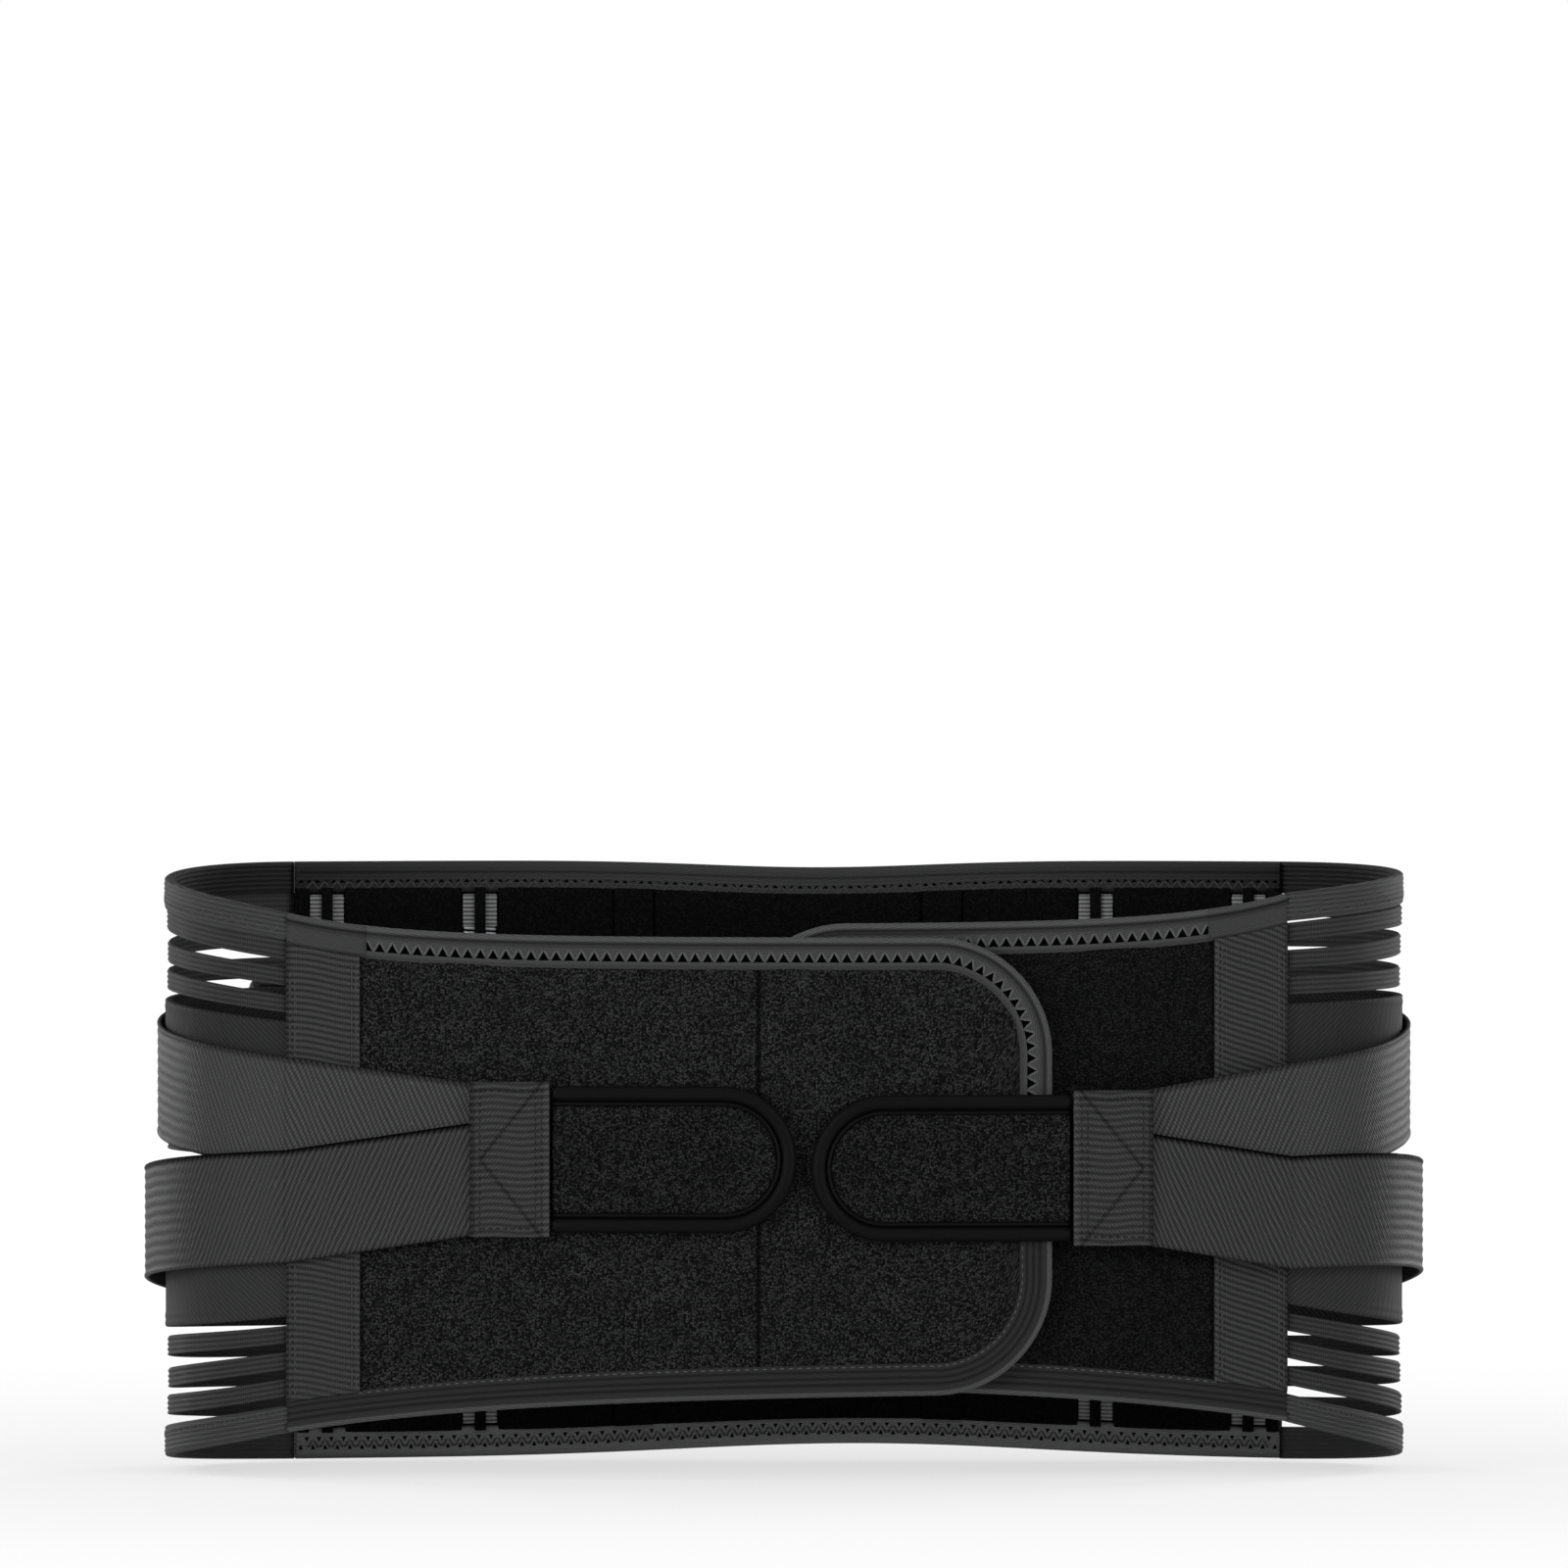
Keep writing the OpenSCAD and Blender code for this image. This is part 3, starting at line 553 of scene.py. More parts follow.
class Groups:
    """Shader node groups that several finishes share, each built once."""

    def __init__(self) -> None:
        """Builds the groups."""
        self.rib = self._ribs()
        self.pile = self._pile()
        self.lint = self._lint()
        self.holes = self._holes()
        self.groove = self._groove()

    @staticmethod
    def _new(name: str, ins: Sequence[tuple[str, float]], outs: Sequence[str]) -> bpy.types.NodeTree:
        """A new group with float inputs and outputs and the cloth coordinates in millimetres.

        Args:
            name: Name of the group.
            ins: Names and default values of the inputs.
            outs: Names of the outputs.

        Returns:
            The node tree, with nodes named in, out, uv and split.
        """
        tree = bpy.data.node_groups.new(name, "ShaderNodeTree")
        for label, value in ins:
            given = tree.interface.new_socket(label, in_out="INPUT", socket_type="NodeSocketFloat")
            given.default_value = value
        for label in outs:
            tree.interface.new_socket(label, in_out="OUTPUT", socket_type="NodeSocketFloat")
        tree.nodes.new("NodeGroupInput").name = "in"
        tree.nodes.new("NodeGroupOutput").name = "out"
        uv = tree.nodes.new("ShaderNodeUVMap")
        uv.uv_map = "weave"
        scale = tree.nodes.new("ShaderNodeVectorMath")
        scale.name, scale.operation = "uv", "SCALE"
        scale.inputs["Scale"].default_value = 1 / MM
        tree.links.new(uv.outputs[0], scale.inputs[0])
        split = tree.nodes.new("ShaderNodeSeparateXYZ")
        split.name = "split"
        tree.links.new(scale.outputs[0], split.inputs[0])
        return tree

    @staticmethod
    def calc(tree: bpy.types.NodeTree, kind: str, *values: object,
             clamp: bool = False) -> bpy.types.NodeSocket:
        """Adds a math node.

        Args:
            tree: Where it goes.
            kind: Its operation.
            values: Its inputs, as sockets or numbers.
            clamp: Keeps the result between 0 and 1.

        Returns:
            Its output.
        """
        node = tree.nodes.new("ShaderNodeMath")
        node.operation, node.use_clamp = kind, clamp
        for socket, value in zip(node.inputs, values):
            if isinstance(value, bpy.types.NodeSocket):
                tree.links.new(value, socket)
            else:
                socket.default_value = value
        return node.outputs[0]

    def _noise(self, tree: bpy.types.NodeTree, scale: float, detail: float) -> bpy.types.NodeSocket:
        """Adds a noise over the cloth coordinates.

        Args:
            tree: Where it goes.
            scale: Its scale.
            detail: Its finer octaves.

        Returns:
            Its value.
        """
        node = tree.nodes.new("ShaderNodeTexNoise")
        node.inputs["Detail"].default_value = detail
        tree.links.new(tree.nodes["uv"].outputs[0], node.inputs["Vector"])
        node.inputs["Scale"].default_value = scale
        return node.outputs["Fac"]

    def _ribs(self) -> bpy.types.NodeTree:
        """Ribs at a pitch and a lean, broken up by yarn noise.

        Returns:
            The node tree.
        """
        tree = self._new("yarn_ribs", [("Pitch", 1.2), ("Along", 1.0), ("Across", 0.0)], ["Height", "Tone"])
        given, split = tree.nodes["in"], tree.nodes["split"]
        a = self.calc(tree, "MULTIPLY", split.outputs[0], given.outputs["Along"])
        b = self.calc(tree, "MULTIPLY", split.outputs[1], given.outputs["Across"])
        turn = self.calc(tree, "DIVIDE", self.calc(tree, "ADD", a, b), given.outputs["Pitch"])
        wave = self.calc(tree, "SINE", self.calc(tree, "MULTIPLY", turn, 2 * math.pi))
        height = self.calc(tree, "MULTIPLY_ADD", wave, 0.5, 0.5)
        yarn = self.calc(tree, "MULTIPLY", self._noise(tree, 1.3, 2.0), 0.55)
        tone = self.calc(tree, "MULTIPLY_ADD", height, 0.6, yarn, clamp=True)
        tree.links.new(height, tree.nodes["out"].inputs["Height"])
        tree.links.new(tone, tree.nodes["out"].inputs["Tone"])
        return tree

    def _pile(self) -> bpy.types.NodeTree:
        """Loops of a brushed pile: rows of loops of uneven brightness on a dark ground.

        Returns:
            The node tree.
        """
        tree = self._new("loop_pile", [("Grain", 1.1)], ["Height", "Tone"])
        grain = tree.nodes["in"].outputs["Grain"]
        cells = tree.nodes.new("ShaderNodeTexVoronoi")
        cells.voronoi_dimensions = "2D"
        tree.links.new(tree.nodes["uv"].outputs[0], cells.inputs["Vector"])
        tree.links.new(grain, cells.inputs["Scale"])
        shade = tree.nodes.new("ShaderNodeSeparateColor")
        tree.links.new(cells.outputs["Color"], shade.inputs["Color"])
        loop = self.calc(tree, "MULTIPLY_ADD", cells.outputs["Distance"], -1.3, 1.0, clamp=True)
        fine, broad = self._noise(tree, 2.2, 2.0), self._noise(tree, 0.06, 2.0)
        bright = self.calc(tree, "MULTIPLY_ADD", self.calc(tree, "POWER", shade.outputs[0], 1.6), 1.0, 0.08)
        specks = self.calc(tree, "MULTIPLY", self.calc(tree, "MULTIPLY", loop, bright),
                           self.calc(tree, "MULTIPLY_ADD", fine, 1.4, 0.3))
        worn = self.calc(tree, "MULTIPLY_ADD", broad, 0.9, 0.55)
        tone = self.calc(tree, "MULTIPLY", specks, worn, clamp=True)
        tree.links.new(loop, tree.nodes["out"].inputs["Height"])
        tree.links.new(tone, tree.nodes["out"].inputs["Tone"])
        return tree

    def _lint(self) -> bpy.types.NodeTree:
        """Sparse light specks of lint and dust.

        Returns:
            The node tree.
        """
        tree = self._new("lint", [], ["Mask"])
        noise = self._noise(tree, 0.35, 4.0)
        mask = self.calc(tree, "MULTIPLY", self.calc(tree, "SUBTRACT", noise, 0.66), 7.0, clamp=True)
        tree.links.new(mask, tree.nodes["out"].inputs["Mask"])
        return tree

    def _holes(self) -> bpy.types.NodeTree:
        """Painted shade: dark needle holes between the legs of a zigzag seam.

        Returns:
            The node tree.
        """
        tree = self._new("seam_holes", [(label, 0.0) for label in HOLE_INPUTS], ["Mask"])
        given, split = tree.nodes["in"].outputs, tree.nodes["split"].outputs
        place = self.calc(tree, "DIVIDE", split[0], given["Pitch"])
        saw = self.calc(tree, "PINGPONG", place, 0.5)
        above = self.calc(tree, "SUBTRACT", split[1], given["Middle"])
        rise = self.calc(tree, "DIVIDE", above, given["Half"])
        inside = self.calc(tree, "SUBTRACT", self.calc(tree, "MULTIPLY", saw, 2.0),
                           self.calc(tree, "MULTIPLY_ADD", rise, 0.5, given["Start"]))
        beside = self.calc(tree, "SUBTRACT", self.calc(tree, "MULTIPLY_ADD", saw, -2.0, 1.0),
                           self.calc(tree, "MULTIPLY_ADD", rise, -0.5, given["Start"]))
        first = self.calc(tree, "MULTIPLY", inside, 8.0, clamp=True)
        second = self.calc(tree, "MULTIPLY", beside, 8.0, clamp=True)
        core = self.calc(tree, "MAXIMUM", first, self.calc(tree, "MULTIPLY", second, given["Both"]))
        row = self.calc(tree, "LESS_THAN", self.calc(tree, "ABSOLUTE", rise), 1.0)
        tree.links.new(self.calc(tree, "MULTIPLY", core, row), tree.nodes["out"].inputs["Mask"])
        return tree

    def _groove(self) -> bpy.types.NodeTree:
        """Painted shade from the tone stored on the points: in grooves, holes, seams, edges and gaps.

        Returns:
            The node tree.
        """
        tree = self._new("groove_shade", [], ["Mask"])
        stored = tree.nodes.new("ShaderNodeAttribute")
        stored.attribute_name = "tone"
        mask = self.calc(tree, "SUBTRACT", 1.0, stored.outputs["Fac"], clamp=True)
        tree.links.new(mask, tree.nodes["out"].inputs["Mask"])
        return tree


@dataclass(frozen=True)
class Cloth:
    """A woven, knitted or brushed cloth finish."""

    name: str
    dark: float
    light: float
    weave: Weave = Weave.RIB
    pitch: float = 1.0
    along: float = 1.0
    across: float = 0.0
    rough: float = 0.75
    gloss: float = 0.2
    bump: float = 0.25
    sheen: float = 0.0
    lint: float = 0.0
    holes: Sequence[float] = ()

    def build(self, groups: Groups) -> bpy.types.Material:
        """Makes the material: weave, painted shade in needle holes and grooves, and lint.

        Args:
            groups: The shared node groups.

        Returns:
            The material.
        """
        mat = bpy.data.materials.new(self.name)
        mat.use_nodes = True
        tree = mat.node_tree
        shader = tree.nodes["Principled BSDF"]
        shader.inputs["Roughness"].default_value = self.rough
        shader.inputs["Sheen Weight"].default_value = self.sheen
        shader.inputs["Sheen Roughness"].default_value = 0.5
        cloth = tree.nodes.new("ShaderNodeGroup")
        if self.weave in (Weave.PILE, Weave.HOOK):
            cloth.node_tree = groups.pile
            cloth.inputs["Grain"].default_value = self.pitch
        else:
            cloth.node_tree = groups.rib
            cloth.inputs["Pitch"].default_value = self.pitch
            cloth.inputs["Along"].default_value = self.along
            cloth.inputs["Across"].default_value = self.across
        colour = self._blend(tree, cloth.outputs["Tone"], self._grey(self.dark), self._grey(self.light))
        gloss = self.gloss
        if self.holes:
            holes = tree.nodes.new("ShaderNodeGroup")
            holes.node_tree = groups.holes
            for label, value in zip(HOLE_INPUTS, self.holes):
                holes.inputs[label].default_value = value
            colour = self._blend(tree, holes.outputs["Mask"], colour, self._grey(BLACK))
            gloss = groups.calc(tree, "MULTIPLY_ADD", holes.outputs["Mask"], -self.gloss, self.gloss)
        if self.lint:
            lint = tree.nodes.new("ShaderNodeGroup")
            lint.node_tree = groups.lint
            colour = self._blend(tree, lint.outputs["Mask"], colour, self._grey(self.lint))
        # Painted shade: the stored tone darkens the colour towards black in grooves, seams and gaps.
        groove = tree.nodes.new("ShaderNodeGroup")
        groove.node_tree = groups.groove
        colour = self._blend(tree, groove.outputs["Mask"], colour, self._grey(BLACK))
        tree.links.new(colour, shader.inputs["Base Color"])
        # The deepest grooves see no light, so they lose their gloss too.
        open_share = groups.calc(tree, "MULTIPLY_ADD", groove.outputs["Mask"], -4.0, 4.0, clamp=True)
        tree.links.new(groups.calc(tree, "MULTIPLY", open_share, gloss), shader.inputs["Specular IOR Level"])
        bump = tree.nodes.new("ShaderNodeBump")
        bump.inputs["Strength"].default_value = self.bump
        bump.inputs["Distance"].default_value = 0.0004
        tree.links.new(cloth.outputs["Height"], bump.inputs["Height"])
        tree.links.new(bump.outputs[0], shader.inputs["Normal"])
        return mat

    @staticmethod
    def _grey(value: float) -> tuple[float, float, float, float]:
        """A near-neutral grey with a faint cool cast."""
        return (value * 0.985, value, value * 1.02, 1.0)

    @staticmethod
    def _blend(tree: bpy.types.NodeTree, factor: bpy.types.NodeSocket, a: object,
               b: object) -> bpy.types.NodeSocket:
        """Mixes two colours.

        Args:
            tree: Where the node goes.
            factor: Share of the second colour.
            a: First colour, as a socket or a value.
            b: Second colour.

        Returns:
            The mixed colour.
        """
        node = tree.nodes.new("ShaderNodeMix")
        node.data_type = "RGBA"
        tree.links.new(factor, node.inputs["Factor"])
        for socket, value in ((node.inputs[6], a), (node.inputs[7], b)):
            if isinstance(value, bpy.types.NodeSocket):
                tree.links.new(value, socket)
            else:
                socket.default_value = value
        return node.outputs[2]


@dataclass(frozen=True)
class Hard:
    """A metal finish."""

    name: str
    colour: tuple[float, float, float]
    metal: float
    rough: float

    def build(self) -> bpy.types.Material:
        """Makes the material, with a noise in its roughness.

        Returns:
            The material.
        """
        mat = bpy.data.materials.new(self.name)
        mat.use_nodes = True
        tree = mat.node_tree
        shader = tree.nodes["Principled BSDF"]
        shader.inputs["Base Color"].default_value = (*self.colour, 1.0)
        shader.inputs["Metallic"].default_value = self.metal
        noise = tree.nodes.new("ShaderNodeTexNoise")
        noise.inputs["Scale"].default_value = 900.0
        where = tree.nodes.new("ShaderNodeTexCoord")
        tree.links.new(where.outputs["Object"], noise.inputs["Vector"])
        span = tree.nodes.new("ShaderNodeMapRange")
        span.inputs["To Min"].default_value = self.rough - 0.06
        span.inputs["To Max"].default_value = self.rough + 0.1
        tree.links.new(noise.outputs["Fac"], span.inputs["Value"])
        tree.links.new(span.outputs[0], shader.inputs["Roughness"])
        return mat


class Finishes:
    """All finishes of the belt."""

    def __init__(self) -> None:
        """Builds the shared groups, then each finish."""
        groups = Groups()
        make = lambda finish: finish.build(groups)
        self.net = make(Cloth("net_yarn", 0.05, 0.15, pitch=0.7, along=1.0, across=1.0, bump=0.2))
        # The spacer core and the lining are nearly black: their own black, darkened further as painted shade
        # for the belt's inside.
        self.core = make(Cloth("spacer_core", 0.001, 0.003, pitch=1.3, rough=0.95, gloss=0.02))
        self.lining = make(Cloth("lining_knit", 0.002, 0.008, Weave.PILE, pitch=1.2, rough=0.9, gloss=0.03,
                                 bump=0.3))
        self.band = make(Cloth("band_webbing", 0.022, 0.06, pitch=0.85, bump=0.22, lint=0.1))
        self.channel = make(Cloth("channel_webbing", 0.028, 0.08, pitch=0.85, bump=0.22, lint=0.1))
        self.strap = make(Cloth("tension_elastic", 0.008, 0.06, Weave.PILE, pitch=1.5, rough=0.85, gloss=0.06,
                                bump=0.35, lint=0.08))
        self.pull = make(Cloth("pull_webbing", 0.015, 0.064, Weave.TWILL, pitch=1.0, along=0.8, across=-0.6,
                               bump=0.25, rough=0.6, lint=0.1))
        self.elastic = make(Cloth("side_elastic", 0.012, 0.045, pitch=0.9, bump=0.25))
        self.herringbone = make(Cloth("side_band_weave", 0.012, 0.05, Weave.TWILL, pitch=1.3, along=1.0,
                                      across=0.8, bump=0.3))
        self.binding = make(Cloth("binding_tape", 0.026, 0.09, Weave.PLAIN, pitch=0.8, along=0.2, across=1.0,
                                  bump=0.2, holes=(SEAM_PITCH, 4.4, 1.9, 0.62, 0.0)))
        # The bottom rim tape is painted five times as bright as the top one: painted light on the belt's
        # lower edge.
        rims = ((1, "top", 1.0, (2.9, 4.4, 0.7, 0.62, 0.0)),
                (-1, "bottom", 5.0, (SEAM_PITCH, 5.4, 2.1, 1.05, 1.0)))
        self.rims = {sign: make(Cloth(f"{word}_rim_tape", 0.013 * painted_light, 0.046 * painted_light, Weave.PLAIN, pitch=0.8,
                                      along=0.2, across=1.0, bump=0.2, holes=holes))
                     for sign, word, painted_light, holes in rims}
        self.edge = make(Cloth("edge_tape", 0.018, 0.06, Weave.PLAIN, pitch=0.8, along=0.1, across=1.0,
                               bump=0.25))
        # The right wing's velour is painted more than twice as bright as the left one's: painted light, as
        # the key light falls on the right wing.
        self.velours = {side: make(Cloth(f"{side.word}_velour", 0.0015, light, Weave.PILE, pitch=1.4,
                                         rough=0.9, gloss=0.03, bump=0.5, sheen=0.02))
                        for side, light in ((Side.RIGHT, 0.05), (Side.LEFT, 0.019))}
        self.pad = make(Cloth("tab_velour", 0.001, 0.04, Weave.PILE, pitch=1.4, rough=0.9, gloss=0.03,
                              bump=0.5, sheen=0.02))
        self.piping = make(Cloth("piping_tape", 0.001, 0.003, Weave.PLAIN, pitch=0.6, along=0.7, across=0.7,
                                 rough=0.6, gloss=0.08, bump=0.1))
        self.hook = make(Cloth("hook_tape", 0.006, 0.04, Weave.HOOK, pitch=2.2, rough=0.6, bump=0.8))
        self.thread = make(Cloth("thread", 0.04, 0.1, pitch=0.5, rough=0.55, bump=0.1))
        # Near-black thread for the patch stitches: dark thread, darkened further as painted shade of stitches
        # pulled into the patch.
        self.sunk_thread = make(Cloth("sunk_thread", 0.002, 0.012, pitch=0.5, rough=0.7, bump=0.1))
        self.dim_thread = make(Cloth("dim_thread", 0.014, 0.05, pitch=0.5, rough=0.6, bump=0.1))
        self.coil = Hard("coil_steel", (0.3, 0.31, 0.32), 0.35, 0.4).build()
        self.ring = Hard("ring_metal", (0.04, 0.04, 0.042), 0.5, 0.36).build()
        self.tip = make(Cloth("tip_plastic", 0.14, 0.26, pitch=1.4, along=0.0, across=1.0, rough=0.4,
                              gloss=0.4, bump=0.05))


@dataclass
class BackPanel:
    """The stayed mesh back with its lining, bands and edge bindings."""

    fin: Finishes
    height: float = PLAN.height
    mesh_t: float = 4.0
    band_pitch: float = 53.5
    band_w: float = 21.5
    centre_w: float = 25.0
    band_t: float = 1.2
    binding_h: float = 11.0
    cell: tuple[float, float] = (5.0, 4.2)
    stay_l: float = 160.0
    tip_l: float = 11.4
    tip_w: float = 11.8
    lining_t: float = 1.4
    body: str = "back"

    @property
    def band_places(self) -> list[float]:
        """Places of the six channel bands along the back."""
        end = PLAN.panel_end - self.band_w / 2
        return [-end, -2 * self.band_pitch, -self.band_pitch, self.band_pitch, 2 * self.band_pitch, end]

    def warp(self, s: Array) -> Callable[[Array], Array]:
        """How the edges of the panel dip and rise.

        Args:
            s: Lengths along the back.

        Returns:
            A function from heights to shifts.
        """
        top = (-2.5 * np.exp(-(((s + 10) / 55) ** 2)))[:, None]
        low = (4.5 * np.exp(-(((s + 25) / 85) ** 2)))[:, None]
        return lambda z: top * ease((z - 165) / 30) + low * ease((35 - z) / 30)

    def strip(self, s0: float, s1: float, n: int, z0: float, z1: float, t0: float, t1: float,
              edge: float = 0.5) -> Strip:
        """A strip on the back arc between two lengths, with n stations."""
        return Strip(Run.back(np.linspace(s0, s1, n)), z0, z1, t0, t1, edge, self.warp)

    def build(self) -> None:
        """Builds all pieces of the panel."""
        self.spacer()
        self.inside()
        self.bands()
        self.bindings()

    def spacer(self) -> None:
        """Builds the net face over a dark core."""
        end, low = PLAN.panel_end - SEAM_GAP, self.binding_h - 2
        core = Soup()
        self.strip(-end, end, 121, low, self.height - low, -self.mesh_t + 0.1, -1.3).solid(core, 9)
        obj = core.piece("spacer_core", self.fin.core, "spacer_mesh")
        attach(obj, self.body)
        net = Soup()
        edges = [-self.centre_w / 2 + 1, self.centre_w / 2 - 1]
        for s in self.band_places:
            edges += [s - self.band_w / 2 + 1, s + self.band_w / 2 - 1]
        edges = sorted(edges)[1:-1]
        for s0, s1 in zip(edges[::2], edges[1::2]):
            self.net(net, s0, s1, low + 1, self.height - low - 1)
        obj = net.piece("spacer_net", self.fin.net, "spacer_mesh")
        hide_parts("mesh_panel")
        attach(obj, self.body)

    def net(self, soup: Soup, s0: float, s1: float, z0: float, z1: float) -> None:
        """Adds one column of net: staggered diamond cells, each a ring of raised yarn round a hole.

        Args:
            soup: Where it goes.
            s0: Start along the back.
            s1: End along the back.
            z0: Lower end.
            z1: Upper end.
        """
        wide, tall = self.cell
        rows, cols = int((z1 - z0) / (tall / 2)), int((s1 - s0) / wide) + 1
        j, i = np.meshgrid(np.arange(rows + 1), np.arange(cols), indexing="ij")
        cs = (s0 + (s1 - s0 - (cols - 0.5) * wide) / 2 + i * wide + (j % 2) * wide / 2).ravel()
        cz = (z0 + (z1 - z0 - rows * tall / 2) / 2 + j * tall / 2).ravel()
        k = np.arange(3)[:, None] / 3
        corners = np.array([[1, 0], [0, 1], [-1, 0], [0, -1], [1, 0]], float)
        rim = np.concatenate([mix(a, b, k) for a, b in zip(corners[:-1], corners[1:])])
        hole = 0.6 * rim / np.linalg.norm(rim, axis=1)[:, None] ** 0.7
        shapes = [(rim, 0.55), (mix(rim, hole, 0.55), 0.45), (hole, 0.0), (hole * 0.9, -1.0)]
        dz = self.warp(cs)(cz[:, None])[:, 0]
        rings, uvs = [], []
        for shape, t in shapes:
            ds, z = shape[:, 0] * wide / 2 + 0 * cs[:, None], cz[:, None] + shape[:, 1] * tall / 2
            run = Run.back((cs[:, None] + ds).ravel())
            xy = run.base + t * run.normal
            rings.append(np.concatenate([xy.reshape(*ds.shape, 2), (z + dz[:, None])[..., None]], -1))
            uvs.append(np.stack([cs[:, None] + ds, z], -1))
        verts, uv = np.stack(rings, 1), np.stack(uvs, 1)
        n = len(rim)
        near = np.arange(n)
        far = (near + 1) % n
        ring = np.stack([near, far, far + n, near + n], 1)
        quads = np.concatenate([ring + r * n for r in range(len(shapes) - 1)])
        start = (np.arange(len(cs)) * n * len(shapes))[:, None, None]
        # Painted shade: each cell darkens from its yarn ring into the hole.
        tone = np.broadcast_to(np.array([1.0, 0.8, 0.3, 0.05])[:, None], verts.shape[:3])
        soup.add(verts, uv, [(quads + start).reshape(-1, 4)], tone)

    def inside(self) -> None:
        """Builds the lining, split over each stay, the tapes over the stays and the coils."""
        t1, t0 = -self.mesh_t - 0.1, -self.mesh_t - self.lining_t
        low = self.binding_h - 2
        soup, end, half = Soup(), PLAN.panel_end - SEAM_GAP, 6.4
        cuts = [-end] + [s + d for s in self.band_places for d in (-half, half)] + [end]
        for s0, s1 in zip(cuts[::2], cuts[1::2]):
            n = max(4, int((s1 - s0) / 2))
            puff = lambda u, v, a=s0, b=s1: 0.5 * np.sin(np.pi * np.clip((u - a) / (b - a), 0, 1)) + 0 * v
            self.strip(s0, s1, n, low, self.height - low, t0, t1, 0.4).solid(soup, 24, inner=puff)
        for s in self.band_places:
            half = 6.8 if abs(s) < 60 else 1.9
            self.strip(s - half, s + half, 9, low, self.height - low, t0 - 0.7, t0 + 0.4, 0.4).solid(soup, 24)
        obj = soup.piece("lining", self.fin.lining, "lining_knit")
        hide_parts("lining")
        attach(obj, self.body)
        for i, s in enumerate(self.band_places, 1):
            obj = self.coil(s).piece(f"stay_coil_{i}", self.fin.coil, "spring_steel")
            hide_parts(f"stay_{i}")
            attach(obj, self.body)
        caps, grip = Soup(), Ribs(1.4, 0.14, shade=0.75)
        mid, reach, half = self.height / 2, self.stay_l / 2 + 0.2, self.tip_w / 2
        for s in self.band_places:
            for z0 in (mid - reach - self.tip_l, mid + reach):
                z1 = z0 + self.tip_l
                cap = self.strip(s - half, s + half, 12, z0, z1, t0 + 0.3, -self.mesh_t + 0.8, 0.7)
                cap.solid(caps, 12, inner=grip, inner_rows=34, tone=grip.tone)
        obj = caps.piece("stay_tip_caps", self.fin.tip, "tip_plastic")
        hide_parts("stay_tips")
        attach(obj, self.body)

    def coil(self, s: float) -> Soup:
        """One flattened spiral stay as a bent wire.

        Args:
            s: Its place along the back.

        Returns:
            The wire.
        """
        turns, per, wire = 104, 12, 0.55
        a = np.arange(turns * per + 1) * 2 * np.pi / per
        across, depth = 5.3 * np.clip(1.25 * np.cos(a), -1, 1), 0.95 * np.clip(1.3 * np.sin(a), -1, 1)
        z = self.height / 2 - self.stay_l / 2 + self.stay_l * np.arange(len(a)) / (len(a) - 1)
        run = Run.back(s + across)
        xy = run.base + (depth - self.mesh_t - 0.1)[:, None] * run.normal
        line = np.concatenate([xy, z[:, None]], 1)
        along = np.gradient(line, axis=0)
        along /= np.linalg.norm(along, axis=1)[:, None]
        side = np.cross(along, [0, 0, 1.0])
        side /= np.linalg.norm(side, axis=1)[:, None] + 1e-9
        up = np.cross(side, along)
        ring = np.linspace(0, 2 * np.pi, 5, endpoint=False)
        spoke = np.cos(ring)[:, None] * side[:, None] + np.sin(ring)[:, None] * up[:, None]
        tube = line[:, None] + wire * spoke
        soup = Soup()
        soup.grid(tube, np.zeros((*tube.shape[:2], 2)))
        return soup

    def bands(self) -> None:
        """Builds the channel bands and the centre band with their stitches."""
        low, high = self.binding_h - 1.0, self.height - self.binding_h + 1.0
        thread, weave = Soup(), Ribs(2.5, 0.14, 0.04, 0.3, 4.0, 0.85)
        for i, s in enumerate(self.band_places, 1):
            half = self.band_w / 2
            strip = self.strip(s - half, s + half, 27, low, high, 0.1, 0.1 + self.band_t, 0.5)
            soup = Soup()
            crown = lambda u, v, c=s, h=half: 0.35 * (1 - ((u - c) / h) ** 2) \
                - 0.5 * ridge(np.abs(u - c), h - 3.2, 0.9)
            arch = lambda u, v, c=s, h=half: v + 2.6 * ((u - c) / h) ** 2
            # Painted shade: dark lines along the band's edges and near its ends, where it meets the bindings.
            painted_shading = lambda u, v, c=s, h=half: 1 - 0.85 * (ridge(np.abs(u - c), h, 0.9) + ridge(v, 1.2, 0.9)
                                                        + ridge(v, high - low - 1.2, 0.9))
            strip.solid(soup, 380, over(lambda u, v: weave(u, arch(u, v)), crown),
                        tone=lambda u, v: weave.tone(u, arch(u, v)) * np.clip(painted_shading(u, v), 0.1, 1))
            obj = soup.piece(f"channel_band_{i}", self.fin.channel, "ribbed_elastic")
            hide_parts(f"channel_band_{i}")
            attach(obj, self.body)
            for d in (-half + 1.2, half - 1.2):
                strip.sew(thread, [(s + d, 2.0), (s + d, high - low - 2)], *BAND_STITCH)
        soup = Soup()
        self.centre(thread).solid_to(soup)
        obj = soup.piece("centre_band", self.fin.channel, "ribbed_elastic")
        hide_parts("centre_band")
        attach(obj, self.body)
        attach(thread.piece("band_stitches", self.fin.dim_thread, "binding_tape"), self.body)

    def centre(self, thread: Soup) -> "CentreBand":
        """The centre band, with its edge stitches added to the thread.

        Args:
            thread: Where the stitches go.

        Returns:
            The band.
        """
        low, high = self.binding_h - 1.0, self.height - self.binding_h + 1.0
        band = CentreBand(self.centre_w, low, high, self.band_t, self.warp)
        band.sew(thread)
        return band

